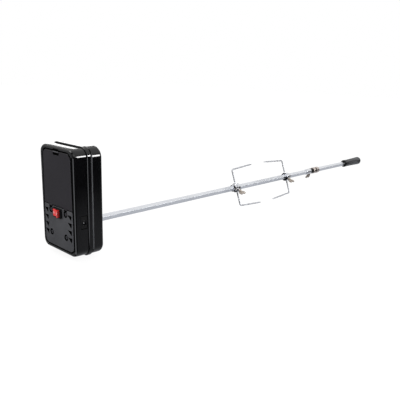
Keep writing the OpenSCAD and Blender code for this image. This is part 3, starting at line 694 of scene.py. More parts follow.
def rear_shell():
    outer = line_rings([(0.5, 27.58), (0.5, 28.9)])         # sunk ring beside the seam band
    round_y = CASE_D - REAR_ROUND
    stations = [(1.75, 28.95), (1.66, 29.0), (0.18, 29.96), (0.06, 30.12), (0.0, 30.4),
                (0.0, 31.0), (0.0, 36.0), (0.0, round_y)]
    for k in range(1, 9):
        t = math.radians(90 * k / 8)
        stations.append((REAR_ROUND * (1 - math.cos(t)), round_y + REAR_ROUND * math.sin(t)))
    outer += line_rings(stations, REAR_LINE)
    inner = line_rings([(WALL, 27.58), (WALL, CASE_D - WALL - 1.5),
                        (WALL + 0.5, CASE_D - WALL - 0.4), (WALL + 1.5, CASE_D - WALL)])
    verts, faces = loft(outer, cap_end=True)
    base = len(verts)
    inner_verts, inner_faces = loft(inner, cap_end=True)
    verts += inner_verts
    faces += [tuple(base + i for i in face) for face in inner_faces]
    n = len(outer[0])
    for j in range(n):
        k = (j + 1) % n
        faces.append((j, k, base + k, base + j))
    shell = mesh_obj("rear_housing_v", verts, faces, MATS["case"])
    cutters = [cyl_y(0, AXIS_H, 9.8, 40, 50, 64)]
    cutters += [cyl_y(x, z, 3.1, CASE_D - 4, CASE_D + 1) for x, z in POSTS]
    cutters += [cyl_y(x, BOSS_Z, 1.6, 43.5, CASE_D + 1) for x in BOSS_X]
    cut(shell, cutters)
    set_materials(shell, "case", "seam")
    # the sloping front edge carries a painted highlight, a light grey line
    for face in shell.data.polygons:
        x, y, z = case_centre(face)
        edge = 28.97 < y < 30.15 and max(abs(x) - 45.6, abs(z - 80.25) - 79.2) > 0
        face.material_index = 1 if edge else 0
    return shell


def rear_housing():
    parts = [rear_shell()]
    parts += [tube(3.2, 1.7, 27.2, 43.95, x, z) for x, z in POSTS]
    boss = [(3.6, 42.7), (3.6, 46), (1.6, 46), (1.6, 43.4), (0.01, 43.4), (0.01, 42.7)]
    parts += [wrapped("boss", turned(boss, 28, x, BOSS_Z), MATS["case"]) for x in BOSS_X]
    # hanger rails: L sections with a stop across the top
    for s in (-1, 1):
        section = [(s * 30, 47.2), (s * 30, 53.5), (s * 22, 53.5), (s * 22, 51.0),
                   (s * 26, 51.0), (s * 26, 47.2)]
        rail = prism_z(fillet(section, [0, 1.0, 0.5, 0.5, 0.3, 0]), 84, 141, "rail")
        parts.append(bevel(rail, 0.3, angle=50))
    section = [(-29, 47.2), (29, 47.2), (29, 53.5), (-29, 53.5)]
    stop = prism_z(fillet(section, [0, 0, 0.8, 0.8]), 137, 141, "rail_top")
    parts.append(bevel(stop, 0.3, angle=50))
    place(join(parts, "rear_housing_v"), "motor_case", "rear_housing")


def front_plate(name, z_lo, z_hi, r_lo, r_hi, mat):
    """Insert lying in the opening, with a rounded front edge; its sides follow the opening."""
    edge, back_y, steps = 1.1, 2.2, 6

    def half(z):
        slope = (OPEN_HI - OPEN_LO) * (z - OPEN_Z0) / (OPEN_Z1 - OPEN_Z0)
        return OPEN_LO - PLATE_GAP + slope

    def ring(inset, y):
        points = rounded(half(z_lo) - inset, half(z_hi) - inset, z_lo + inset, z_hi - inset,
                         max(r_lo - inset, 0.15), r_hi=max(r_hi - inset, 0.15), side=10)
        return [case_pt(x, y, z) for x, z in points]
    rings = [ring(0, back_y)]
    for k in range(steps + 1):
        t = math.radians(90 * k / steps)
        rings.append(ring(edge * (1 - math.cos(t)), edge * (1 - math.sin(t))))
    return capped(name, rings, mat)


def dark_edges(plate):
    """Every face sunk behind the front rounding is painted shade, matte black."""
    add_materials(plate, "groove")
    groove = len(plate.data.materials) - 1
    for face in plate.data.polygons:
        x, y, z = case_centre(face)
        rim = abs(x) > 35.5 or z > 151.9 or z < 8.2 or 68.2 < z < 71.6
        if (0.85 if rim else 0.16) < y < 2.15:
            face.material_index = groove


def control_panel():
    panel = front_plate("control_panel_v", 7.0, COVER_Z - 1.0, 9.0, 0.6, MATS["panel"])
    cutters = [switch_hole(-1, 4)]
    for vx in VENT_X:
        for z in VENT_Z:
            vent = [(vx - 4.2, z + 2.8), (vx + 4.2, z + 2.8), (vx + 3.2, z - 3.2)]
            # a shallow surround round each vent; dark_edges paints its floor black as painted
            # shade
            surround = [(vx - 5.4, z + 3.4), (vx + 5.9, z + 3.4), (vx + 4.3, z - 4.5)]
            cutters.append(prism_y(fillet(vent, [0.3, 0.4, 0.5], 3), -1, 4))
            cutters.append(prism_y(fillet(surround, [0.4, 0.6, 0.7], 3), -1, 0.32))
    for x, z in PANEL_SCREWS:
        cutters.append(cyl_y(x, z, 1.7, -1, 4))
        # screw well; dark_edges paints its floor black as painted shade
        cutters.append(cyl_y(x, z, 5.0, -1, 1.6, 48))
    cutters += [box((x - 4.8, -1, 66.8), (x + 4.8, 4, 71)) for x in TAB_X]
    cut(panel, cutters)
    bevel(panel, 0.14, angle=40)
    dark_edges(panel)
    place(panel, "motor_case", "control_panel")


def battery_cover():
    plate = front_plate("battery_cover_v", COVER_Z, 153.0, 0.6, 9.0, MATS["cover"])
    # pocket under the lip, and a slot at each side of the latch
    cut(plate, [prism_y(rounded(8, 8, 147.4, 151.3, 0.9, 5), -1, 1.5),
                box((-8.6, -1, 150.2), (-7.95, 4, 156)), box((7.95, -1, 150.2), (8.6, 4, 156))])
    parts = [bevel(plate, 0.16, angle=40)]
    for x in (-30, 30):
        parts.append(bevel(box((x - 0.8, 2.1, 80), (x + 0.8, 3.6, 145), "rib"), 0.2))
    parts.append(bevel(box((-6, 2.1, 149.8), (6, 4.2, 151.7), "nose"), 0.3, 3))
    # raised lip the thumb pulls on
    lip = bevel(prism_y(rounded(7.6, 7.6, 151.5, 153.1, 0.7, 5), -0.55, 0.6, "lip"), 0.25, 3)
    parts.append(lip)
    for x in TAB_X:
        parts.append(bevel(box((x - 4, 0.15, 69.2), (x + 4, 1.45, 70.9), "arm"), 0.15))
        parts.append(capped("lug", [ring_x(0.75, end, 0.8, 69.2, 20) for end in (x - 4, x + 4)]))
    # the lip takes the lighter grey: painted highlight
    for part in parts:
        set_materials(part, "lip" if part is lip else "cover")
    dark_edges(plate)
    place(join(parts, "battery_cover_v"), "cover", "battery_cover")


# ------------------------------------------------------------------ switch
SWITCH_W, SWITCH_OUT, SWITCH_Z = 21.6, 3.0, 61.0    # bezel width, stand-out, centre height
PIVOT_Y = 0.8
KEY_TILT = math.radians(-11.0)
KEY_HALF = SWITCH_W / 2 - 2.0
KEY_OUT = SWITCH_OUT + 2.7          # from the pivot to the crests of the key
KEY_FLAT = KEY_HALF - 1.4           # half width between the crests
VALLEY, VALLEY_POWER = 1.2, 1.2     # depth and curve of the valley between the crests


def switch_body():
    """Bezel with a rounded rim round an open well, and the body behind it."""
    half_w, half_h = SWITCH_W / 2, 7.5
    well_w, well_h = half_w - 1.4, 5.6
    stations = [        # half width, half height, corner radius, y
        (well_w, well_h, 0.5, 9.5), (well_w, well_h, 0.5, -SWITCH_OUT + 0.45),
        (well_w + 0.12, well_h + 0.12, 0.55, -SWITCH_OUT + 0.15),
        (well_w + 0.4, well_h + 0.4, 0.7, -SWITCH_OUT),
        (half_w - 0.75, half_h - 0.75, 0.9, -SWITCH_OUT),
        (half_w - 0.35, half_h - 0.35, 1.1, -SWITCH_OUT + 0.12),
        (half_w - 0.18, half_h - 0.18, 1.2, -SWITCH_OUT + 0.5),
        (half_w, half_h, 1.3, -0.5), (half_w, half_h, 1.3, -0.06),
        (half_w - 0.7, half_h - 1.0, 0.8, -0.06), (half_w - 0.7, half_h - 1.0, 0.8, 13.5)]
    rings = [[case_pt(x, y, SWITCH_Z + z) for x, z in rounded(a, a, -b, b, r, 6)]
             for a, b, r, y in stations]
    place(capped("switch_body_v", rings, MATS["bezel"]), "motor_case", "switch_body")


def key_pt(x, y, z):
    """Frame of the tilted key, with its origin on the pivot."""
    c, s = math.cos(KEY_TILT), math.sin(KEY_TILT)
    return case_pt(x * c - y * s, PIVOT_Y + x * s + y * c, SWITCH_Z + z)


def switch_rocker():
    """Key with two faces meeting at a soft valley, rounded all round."""
    left = [(-KEY_HALF + 0.12, -2.9), (-KEY_HALF + 0.4, -KEY_OUT + 0.75),
            (-KEY_HALF + 0.6, -KEY_OUT + 0.32), (-KEY_HALF + 0.95, -KEY_OUT + 0.08),
            (-KEY_HALF + 1.4, -KEY_OUT)]
    for k in range(1, 12):
        t = k / 12
        left.append((-KEY_FLAT * (1 - t), -KEY_OUT + VALLEY * (t ** VALLEY_POWER)))
    right = [(-x, y) for x, y in reversed(left)]
    profile = left + [(0.0, -KEY_OUT + VALLEY)] + right
    profile += [(KEY_HALF, -2.4), (4.5, 1.6), (2.2, 4.4), (-2.2, 4.4), (-4.5, 1.6),
                (-KEY_HALF, -2.4)]
    rings = []
    hub_y = -1.0        # the profile shrinks towards this point at the ends
    for z, inset in ((-5.3, 0.5), (-5.2, 0.22), (-4.95, 0.06), (-4.7, 0.0),
                     (4.7, 0.0), (4.95, 0.06), (5.2, 0.22), (5.3, 0.5)):
        ring = []
        for x, y in profile:
            arm = Vector((x, y - hub_y))
            arm = arm * ((arm.length - inset) / arm.length)
            ring.append(key_pt(arm.x, arm.y + hub_y, z))
        rings.append(ring)
    key = capped("switch_rocker_v", rings, MATS["red"])
    # faces turned to +X take the darker red: painted shade on the key's end
    add_materials(key, "red_shaded_end")
    for face in key.data.polygons:
        if face.normal.x > 0.8:
            face.material_index = 1
    place(key, "rocker", "switch_rocker")


def rocker_marks():
    """A bar on the left end and a ring on the right, just proud of the key."""
    sunk, proud = 0.05, -0.04

    def mark_pt(x, offset, z):
        t = min(abs(x) / KEY_FLAT, 1.0)
        return key_pt(x, -KEY_OUT + VALLEY * ((1 - t) ** VALLEY_POWER) + offset, z)
    corners = ((-5.5, -1.9), (-4.5, -1.9), (-4.5, 1.9), (-5.5, 1.9))
    verts = [mark_pt(x, offset, z) for offset in (sunk, proud) for x, z in corners]
    faces = [(0, 1, 2, 3), (7, 6, 5, 4), (0, 4, 5, 1), (1, 5, 6, 2), (2, 6, 7, 3), (3, 7, 4, 0)]
    bar = mesh_obj("mark_bar", verts, faces, MATS["mark"])
    rings = [[mark_pt(x, offset, z) for x, z in circle(radius, 28, 5.0)]
             for radius, offset in ((1.9, sunk), (1.3, sunk), (1.3, proud), (1.9, proud))]
    marks = join([bar, wrapped("mark_ring", rings, MATS["mark"])], "rocker_marks")
    place(marks, "rocker")


# ------------------------------------------------------------------ jack and case screws
def dc_jack():
    # radius and x
    sleeve = [(0.01, 36.5), (2.9, 36.5), (2.9, 44.6), (3.05, 44.95), (3.3, 45.1), (3.7, 45.1),
              (3.92, 45.0), (4.0, 44.7), (4.0, 38.2), (4.0, 36.0), (0.01, 36.0)]
    pin = [(0.01, 36.6), (1.05, 36.6), (1.05, 43.4), (0.95, 43.8), (0.6, 44.1), (0.01, 44.15)]
    barrel = wrapped("dc_jack_v", [jack_ring(*station) for station in sleeve], MATS["jack"])
    block = box((34.6, 10.5, 46.5), (43.4, 20.5, 57.5), "jack_block")
    cut(block, [capped("cutter", [jack_ring(3.95, 30), jack_ring(3.95, 50)])])
    bevel(block, 0.3)
    set_materials(block, "jack")
    place(join([barrel, block], "dc_jack_v"), "motor_case", "dc_jack")
    pin_obj = mesh_obj("dc_jack_pin_v", *loft([jack_ring(*s) for s in pin]), MATS["steel"])
    place(pin_obj, "motor_case", "dc_jack_pin")


def cross_screw(cx, cz, y_face, head_r, head_h, shank_r, y_end, s, key):
    """Pan-head screw with a cross recess; s is +1 when the head faces -Y."""
    edge = 0.5
    profile = [(0.01, y_face), (2.4, y_face)]
    for k in range(0, 7):
        t = math.radians(90 * k / 6)
        profile.append((head_r - edge + edge * math.sin(t),
                        y_face + s * edge * (1 - math.cos(t)) * 0.9))
    profile += [(head_r, y_face + s * head_h), (shank_r + 0.1, y_face + s * head_h)]
    y = y_face + s * (head_h + 0.6)
    pitch, root_r = 1.0, shank_r - 0.18
    while (y_end - y) * s > pitch:
        profile += [(root_r, y), (shank_r, y + s * 0.35), (shank_r, y + s * 0.45),
                    (root_r, y + s * 0.8)]
        y += s * pitch
    profile += [(shank_r - 0.25, y_end), (0.01, y_end)]
    screw = wrapped("screw", turned(profile, 36, cx, cz), MATS[key])
    cutters = []
    y0, y1 = sorted((y_face - s * 0.5, y_face + s * min(0.9, head_h * 0.7)))
    for angle in (0.3, 0.3 + PI / 2):
        c, sn = math.cos(angle), math.sin(angle)
        slot = [(-1.7, -0.32), (1.7, -0.32), (1.7, 0.32), (-1.7, 0.32)]
        cutters.append(prism_y([(cx + x * c - z * sn, cz + x * sn + z * c) for x, z in slot],
                               y0, y1))
    cut(screw, cutters)
    set_materials(screw, key)
    return screw


def panel_screws():
    y_face = 0.5
    screws = []
    for cx, cz in PANEL_SCREWS:
        screw = cross_screw(cx, cz, y_face, head_r=3.3, head_h=1.05, shank_r=1.45, y_end=21.3,
                            s=1, key="screw")
        # painted shade: the rim of the head and the floor of the cross recess are matte black
        add_materials(screw, "groove")
        for face in screw.data.polygons:
            x, y, z = case_centre(face)
            radius = math.hypot(x - cx, z - cz)
            if radius > 2.45 or (radius < 1.75 and 0.6 < y - y_face < 1.2):
                face.material_index = 1
        screws.append(screw)
    place(join(screws, "panel_screws_v"), "motor_case", "panel_screws")


def case_screws():
    screws = [cross_screw(x, z, 46.2, head_r=2.8, head_h=2.0, shank_r=1.25, y_end=18.2, s=-1,
                          key="zinc") for x, z in POSTS]
    place(join(screws, "case_screws_v"), "motor_case", "case_screws")


# ------------------------------------------------------------------ spit, mm, spit frame
BAR = 8.0                       # side of the square bar
SPIT_END = 900.0
HANDLE_L = 82.0
BORE_HALF = 4.1                 # half side of the square bore in hubs and bushing
BAR_FACE = 4.06                 # height at which screw tips meet the bar
WIRE_R = 1.5
FORK_1_Y, FORK_2_Y, BUSHING_Y = 365.0, 544.0, 652.0
FORK_SCREW_ANGLE, BUSHING_SCREW_ANGLE = -45, -135       # degrees from +X towards +Z


def spit_circle(radius, y, n):
    return [spit_pt(x, y, z) for x, z in circle(radius, n)]


def spit_square(half, y, n, corner=2.0):
    """Square on its corner, sampled by angle; corner caps the reach, as a multiple of half."""
    ring = []
    for i in range(n):
        angle = 2 * PI * i / n
        turn = angle - PI / 4
        radius = min(half / max(abs(math.cos(turn)), abs(math.sin(turn))), half * corner)
        ring.append(spit_pt(radius * math.cos(angle), y, radius * math.sin(angle)))
    return ring


def bar_ring(y, scale=1.0):
    half = BAR / 2
    c = math.cos(PI / 4)
    return [spit_pt((x * c - z * c) * scale, y, (x * c + z * c) * scale)
            for x, z in rounded(half, half, -half, half, 0.5, 5)]


def spit_bar():
    rings = [bar_ring(-23.0, 0.16), bar_ring(-22.2, 0.30), bar_ring(-10.5, 0.96), bar_ring(-9.0)]
    rings += [bar_ring(y) for y in range(0, 841, 60)]
    rings.append(bar_ring(SPIT_END - 8.2))
    bar = capped("spit_bar_v", rings, MATS["chrome_bar"])
    # the rounded corners are duller than the drawn faces
    add_materials(bar, "bar_edge")
    for face in bar.data.polygons:
        q = [bar.data.vertices[i].co for i in face.vertices]
        if len(q) == 4 and abs(face.normal.y) < 0.05 \
                and min((q[k] - q[(k + 1) % 4]).length for k in range(4)) < 0.0008:
            face.material_index = 1
    place(bar, "spit", "spit_bar")


# distance from the front of the handle, radius
HANDLE_PROFILE = [
    (0.0, 8.3), (0.9, 9.1), (2.0, 9.2), (4.6, 9.2), (5.4, 8.9), (6.4, 8.0), (8.5, 7.9),
    (10.5, 8.5), (13.0, 8.95), (30.0, 9.3), (60.0, 9.95), (72.0, 10.2), (74.5, 10.3),
    (75.2, 9.9), (75.8, 9.9), (76.5, 10.3), (78.5, 10.25), (80.3, 9.7), (81.4, 8.8), (82.0, 7.4)]
FLUTES, FLUTE_DEPTH = 8, 0.62
FLUTE_START, FLUTE_END, FLUTE_FADE = 13.5, 71.5, 5.0


def handle_radius(t):
    for (a, ra), (b, rb) in zip(HANDLE_PROFILE, HANDLE_PROFILE[1:]):
        if t <= b:
            return ra + (rb - ra) * (t - a) / (b - a)
    return HANDLE_PROFILE[-1][1]


def handle():
    n = 128
    y0 = SPIT_END - HANDLE_L
    # blind square bore from the front face
    rings = [spit_circle(0.02, SPIT_END - 7.9, n), spit_square(4.06, SPIT_END - 7.9, n),
             spit_square(4.06, y0 + 0.3, n), spit_square(4.35, y0, n),
             spit_circle(6.6, y0, n), spit_circle(7.4, y0, n)]
    stations = {k[0] for k in HANDLE_PROFILE} | {13 + i * 1.5 for i in range(40)}
    for t in sorted(stations | {14.5, 16, 17.5, 66, 68, 70}):
        fade = max(0.0, min(1.0, (t - FLUTE_START) / FLUTE_FADE)) \
            * max(0.0, min(1.0, (FLUTE_END - t) / FLUTE_FADE))
        fade = math.sin(fade * PI / 2)
        ring = []
        for i in range(n):
            angle = 2 * PI * i / n
            hollow = max(0.0, (math.cos(angle * FLUTES) + 0.1) / 1.1) ** 0.8
            radius = handle_radius(t) - FLUTE_DEPTH * fade * hollow
            ring.append(spit_pt(radius * math.cos(angle), y0 + t, radius * math.sin(angle)))
        rings.append(ring)
    # slightly dished end face
    rings += [spit_circle(6.6, SPIT_END, n), spit_circle(5.6, SPIT_END - 0.5, n),
              spit_circle(0.02, SPIT_END - 0.6, n)]
    grip = mesh_obj("handle_grip_v", *loft(rings), MATS["handle"])
    add_materials(grip, "guard")
    for face in grip.data.polygons:
        t = face.center.y / MM - y0
        if t < 7.0 or t > 81.6:
            face.material_index = 1
    place(grip, "spit", "handle_grip")


def bored(name, profile, y, start, end):
    """Turned body with a square bore; profile (radius, y), start and end are relative to y."""
    n, chamfer = 96, 0.3
    y0, y1 = y + start, y + end
    mouth = BORE_HALF + chamfer * 0.8
    rings = [spit_square(BORE_HALF, y0 + chamfer, n, 1.36), spit_square(mouth, y0, n, 1.36)]
    rings += [spit_circle(radius, y + t, n) for radius, t in profile]
    rings += [spit_square(mouth, y1, n, 1.36), spit_square(BORE_HALF, y1 - chamfer, n, 1.36)]
    return wrapped(name, rings, MATS["chrome"])


def radial(angle):
    a = math.radians(angle)
    return Vector((math.cos(a), 0, math.sin(a)))


def screw_hole(obj, y, angle):
    """Hole square to the spit axis, from near the axis outwards."""
    outward, along = radial(angle), Vector((0, 1, 0))
    across = outward.cross(along)
    rings = [[spit_pt(*(Vector((0, y, 0)) + outward * height + along * a + across * b))
              for a, b in circle(2.52, 32)] for height in (1.0, 20)]
    cut(obj, [capped("cutter", rings)])


def fork_hub(fork, y, s):
    """Flange with a sleeve; the sleeve points to -Y for s = 1 and to +Y for s = -1."""
    if s > 0:
        profile = [(5.9, -13.0), (6.3, -12.95)] + fillet(
            [(6.6, -13.0), (6.98, -9.0), (7.5, -3.6), (9.8, -3.6), (9.8, 3.6), (6.2, 3.6)],
            [0.5, 0.0, 0.6, 0.8, 0.8, 0.0], closed=False)
        start, end = -13.0, 3.6
    else:
        profile = fillet([(6.2, -3.6), (9.8, -3.6), (9.8, 3.6), (7.5, 3.6), (6.6, 13.0)],
                         [0.0, 0.8, 0.8, 0.6, 0.5], closed=False)
        profile += [(6.3, 12.95), (5.9, 13.0)]
        start, end = -3.6, 13.0
    node = fork + "_hub"
    hub = bored(node + "_v", profile, y, start, end)
    screw_hole(hub, y, FORK_SCREW_ANGLE)
    add_materials(hub, "shade_metal")
    for face in hub.data.polygons:
        t = face.center.y / MM - y
        x, z = face.center.x, face.center.z
        # lower part of the flange's front face, black as painted shade
        if face.normal.y < -0.85 and -3.8 < t < -3.0 and z < (-0.002 if s > 0 else 0.001):
            face.material_index = 1
        # two patches of painted shade, black, on the open end of the front sleeve
        if s > 0 and t < -8.99 and math.hypot(x, z) > 0.0055 \
                and (0.0012 < z < 0.0062 or -0.0068 < z < -0.0018):
            face.material_index = 1
    # weld collars where the wires enter: height, radius
    weld = ((8.6, 2.7), (9.7, 2.5), (10.1, 2.15), (10.5, 1.8), (10.9, 1.56), (8.6, 1.53))
    parts = [hub]
    for side in (1, -1):
        rings = [[spit_pt(x, t, side * height) for x, t in circle(radius, 28, 0.0, y)]
                 for height, radius in weld]
        parts.append(wrapped("weld", rings, MATS["chrome"]))
    place(join(parts, node + "_v"), fork, node)


def sweep(path, radii, n):
    """Rings of a round wire along a path in the spit frame."""
    points = [Vector(p) for p in path]
    rings = []
    for i, p in enumerate(points):
        ahead = (points[min(i + 1, len(points) - 1)] - points[max(i - 1, 0)]).normalized()
        a = Vector((1, 0, 0))
        a = a - ahead * a.dot(ahead)
        a.normalize()
        b = ahead.cross(a)
        r = radii[i]
        rings.append([spit_pt(*(p + a * r * math.cos(2 * PI * k / n)
                                + b * r * math.sin(2 * PI * k / n))) for k in range(n)])
    return rings


def fork_prongs(fork, y, s):
    """Two wires that rise from the hub, bend along the spit and end in a point."""
    lean = math.radians(3.5)
    reach, bend_r, length = 38.5, 4.2, 69.0
    bend = PI / 2 - lean
    path = [(0, 0, height) for height in (7.6, 14, 20, 26, 32)]
    for k in range(0, 11):
        t = bend * k / 10
        path.append((0, bend_r * (1 - math.cos(t)), reach - bend_r + bend_r * math.sin(t)))
    start = Vector(path[-1])
    ahead = Vector((0, math.sin(bend), math.cos(bend)))
    tip = length - bend_r
    path += [tuple(start + ahead * q) for q in (6, 14, 24, 34, 44, tip - 9)]
    radii = [WIRE_R] * len(path)
    # distance before the tip, radius
    for before, radius in ((6, 1.25), (3, 0.9), (1.0, 0.55), (0.2, 0.3), (0, 0.08)):
        path.append(tuple(start + ahead * (tip - before)))
        radii.append(radius)
    parts = []
    for side in (1, -1):
        points = [(x, y + s * t, side * z) for x, t, z in path]
        parts.append(capped("prong", sweep(points, radii, 20), MATS["wire"]))
    node = fork + "_prongs"
    place(join(parts, node + "_v"), fork, node)


def wing_screw(owner, y, angle, seat):
    """Thumb screw square to the spit axis, with two rounded wings on a waisted stem;
    seat is the distance from the axis to the underside region of its collar."""
    outward, along = radial(angle), Vector((0, 1, 0))
    across = along.cross(outward)
    origin = Vector((0, y, 0))

    def screw_pt(a, b, height):
        return spit_pt(*(origin + outward * height + along * a + across * b))

    profile = [(0.02, BAR_FACE), (1.9, BAR_FACE), (2.2, BAR_FACE + 0.3)]
    root_r, crest_r, pitch = 2.12, 2.45, 0.8
    h = BAR_FACE + 0.6
    while h < seat - 1.3:
        profile += [(root_r, h), (crest_r, h + 0.3), (crest_r, h + 0.38), (root_r, h + 0.68)]
        h += pitch
    # collar and stem: radius, height above the seat
    profile += [(r, seat + t) for r, t in (
        (2.15, -0.6), (3.2, -0.5), (3.6, -0.2), (3.6, 1.9), (3.3, 2.5), (2.75, 2.9), (2.55, 4.4),
        (2.5, 6.0), (2.1, 7.2), (1.2, 7.8), (0.02, 7.9))]
    rings = [[screw_pt(a, b, height) for a, b in circle(r, 40)] for r, height in profile]
    parts = [capped("core", rings, MATS["thumb"])]

    wing_x, wing_z, wing_r = 4.5, seat + 6.8, 4.4
    # lobe: share of the half thickness, share of the radius
    lobe = ((-1.0, 0.80), (-0.94, 0.92), (-0.72, 0.985), (-0.4, 1.0),
            (0.4, 1.0), (0.72, 0.985), (0.94, 0.92), (1.0, 0.80))
    # web from stem to wing: offset, half thickness, bottom, top
    web = ((0.4, 1.25, seat + 2.4, seat + 7.2), (2.2, 1.2, seat + 2.7, seat + 8.6),
           (4.0, 1.12, seat + 3.3, seat + 9.4))
    for side in (1, -1):
        rings = []
        for t, share in lobe:
            ring = []
            for i in range(36):
                th = 2 * PI * i / 36
                px = wing_x + wing_r * share * math.cos(th) * 0.98
                pz = wing_z + wing_r * share * math.sin(th) * (1.02 if math.sin(th) > 0 else 0.95)
                thick = 1.2 * (1.0 - 0.28 * max(0.0, (px - wing_x) / wing_r))
                ring.append(screw_pt(side * px, t * thick, pz))
            rings.append(ring)
        parts.append(capped("wing", rings, MATS["thumb"]))
        rings = [[screw_pt(side * px, x, z) for x, z in rounded(half, half, lo, hi, 0.5, 4)]
                 for px, half, lo, hi in web]
        parts.append(capped("web", rings, MATS["thumb"]))
    node = owner + "_wing_screw"
    place(join(parts, node + "_v"), owner + "_screw", node)


def bushing(y):
    groove_r = 5.9
    profile = fillet(
        [(5.9, -22.0), (6.4, -21.4), (6.4, -4.6), (6.5, -4.3), (6.5, 6.9), (6.4, 7.2), (6.4, 8.0),
         (7.4, 9.0), (7.4, 15.6), (groove_r, 16.0), (groove_r, 21.0), (7.4, 21.4), (7.4, 30.2),
         (6.6, 31.0)],
        [0.3, 0.3, 0, 0, 0, 0, 0.3, 0.5, 0.5, 0.5, 0.5, 0.5, 0.5, 0.3], 3, closed=False)
    body = bored("spit_bushing_v", profile, y, -22.0, 31.0)
    screw_hole(body, y, BUSHING_SCREW_ANGLE)
    # bright sleeve; painted shade, black, on the band round the screw and in the barrel's groove;
    # warm nickel barrel elsewhere
    add_materials(body, "shade_metal", "nickel")
    for face in body.data.polygons:
        t = face.center.y / MM - y
        if -4.5 < t < 7.2:
            face.material_index = 1
        elif t >= 7.2:
            face.material_index = 1 if 15.9 < t < 21.1 else 2
    place(body, "bushing", "spit_bushing")


for build in (front_housing, seam_band, rear_housing, control_panel, battery_cover, switch_body,
              switch_rocker, rocker_marks, dc_jack, panel_screws, case_screws, spit_bar, handle):
    build()
for fork_name, fork_y, direction in (("fork_1", FORK_1_Y, 1), ("fork_2", FORK_2_Y, -1)):
    fork_hub(fork_name, fork_y, direction)
    fork_prongs(fork_name, fork_y, direction)
    wing_screw(fork_name, fork_y, FORK_SCREW_ANGLE, seat=12.0)
bushing(BUSHING_Y)
wing_screw("bushing", BUSHING_Y, BUSHING_SCREW_ANGLE, seat=9.0)

# ------------------------------------------------------------------ finishes of the CAD nodes
# material key: nodes; any other node gets the inner plastic
FINISHES = {
    "case": "front_housing seam_band rear_housing",
    "panel": "control_panel",
    "cover": "battery_cover",
    "bezel": "switch_body",
    "red": "switch_rocker",
    "jack": "dc_jack",
    "screw": "panel_screws",
    "chrome_bar": "spit_bar",
    "handle": "handle_grip",
    "chrome": "fork_1_hub fork_1_prongs fork_2_hub fork_2_prongs",
    "nickel": "fork_1_wing_screw fork_2_wing_screw spit_bushing bushing_wing_screw",
    "cell": "battery_cells",
    "contact": "contact_bridge contact_positive contact_negative",
    "steel": "dc_jack_pin switch_pivot plate_pillars gear_pins motor_shaft output_socket",
    "zinc": "case_screws gear_plate_front gear_plate_rear plate_screws motor_can motor_screws",
    "brass": "switch_terminals motor_terminals motor_pinion gear_3 output_gear",
    "bronze": "output_bush_front output_bush_rear",
    "nylon": "motor_end_cap gear_1 gear_2",
    "ferrite": "motor_magnets",
    "copper": "motor_armature",
    "lead_red": "lead_red",
    "lead_black": "lead_black",
}
finish_of = {node: key for key, nodes in FINISHES.items() for node in nodes.split()}
for node_name, node_obj in frame["nodes"].items():
    set_materials(node_obj, finish_of.get(node_name, "inner"))


# ------------------------------------------------------------------ floor, metres, row frame
FLOOR_HALF, FLOOR_Z = 6.0, -0.0465


def floor_cards(shader):
    """Brightness that glossy rays meet on the floor, toned by place."""
    split = shader.node("SeparateXYZ", {0: shader.node("NewGeometry").outputs["Position"]})
    x, y = split.outputs["X"], split.outputs["Y"]
    mix, smooth, calc = shader.mix, shader.smooth, shader.calc
    # behind the case's front: fading to the right, mid tone under the spit, dark on the left
    side = mix(smooth(x, 0.08, 0.50, (0.30, 0.02)), 0.56, smooth(x, 0.07, 0.035))
    side = mix(side, 0.07, smooth(x, -0.025, -0.055))
    # in front: by bearing from a point at the case, dim far left, brightest ahead, dark right
    depth = calc("MAXIMUM", calc("MULTIPLY", calc("ADD", y, 0.045), -1.0), 0.002)
    bearing = calc("DIVIDE", calc("SUBTRACT", x, 0.045), depth)
    front = mix(0.34, 1.2, smooth(bearing, -0.95, -0.45))
    front = mix(front, 2.7, smooth(bearing, -0.05, 0.15))
    front = mix(front, 0.05, smooth(bearing, 0.50, 0.72))
    return mix(side, front, smooth(y, -0.045, -0.060))


def floor_material():
    """Lifted almost to white for the camera, pale for light, toned cards for reflections."""
    material = bpy.data.materials.new("floor_pale")
    material.use_nodes = True
    shader = Shader(material.node_tree)
    out = shader.node("OutputMaterial")
    pale = shader.node("BsdfDiffuse", {"Color": (0.92, 0.92, 0.92, 1)})
    lift = shader.node("Emission", {"Strength": 0.91})
    low = shader.node("BsdfDiffuse", {"Color": (0.12, 0.12, 0.12, 1)})
    seen = shader.node("AddShader", {0: low.outputs[0], 1: lift.outputs[0]})
    path = shader.node("LightPath")
    plain = shader.node("MixShader", {"Fac": path.outputs["Is Camera Ray"],
                                      1: pale.outputs[0], 2: seen.outputs[0]})
    cards = shader.node("Emission", {"Strength": floor_cards(shader),
                                     "Color": (0.93, 0.95, 1.0, 1)})
    final = shader.node("MixShader", {"Fac": path.outputs["Is Glossy Ray"],
                                      1: plain.outputs[0], 2: cards.outputs[0]})
    shader.feed(out.inputs[0], final.outputs[0])
    return material


def floor():
    s, z = FLOOR_HALF, FLOOR_Z
    mesh = bpy.data.meshes.new("floor")
    mesh.from_pydata([(-s, -s, z), (s, -s, z), (s, s, z), (-s, s, z)], [], [(0, 1, 2, 3)])
    obj = bpy.data.objects.new("floor", mesh)
    bpy.context.scene.collection.objects.link(obj)
    mesh.materials.append(floor_material())


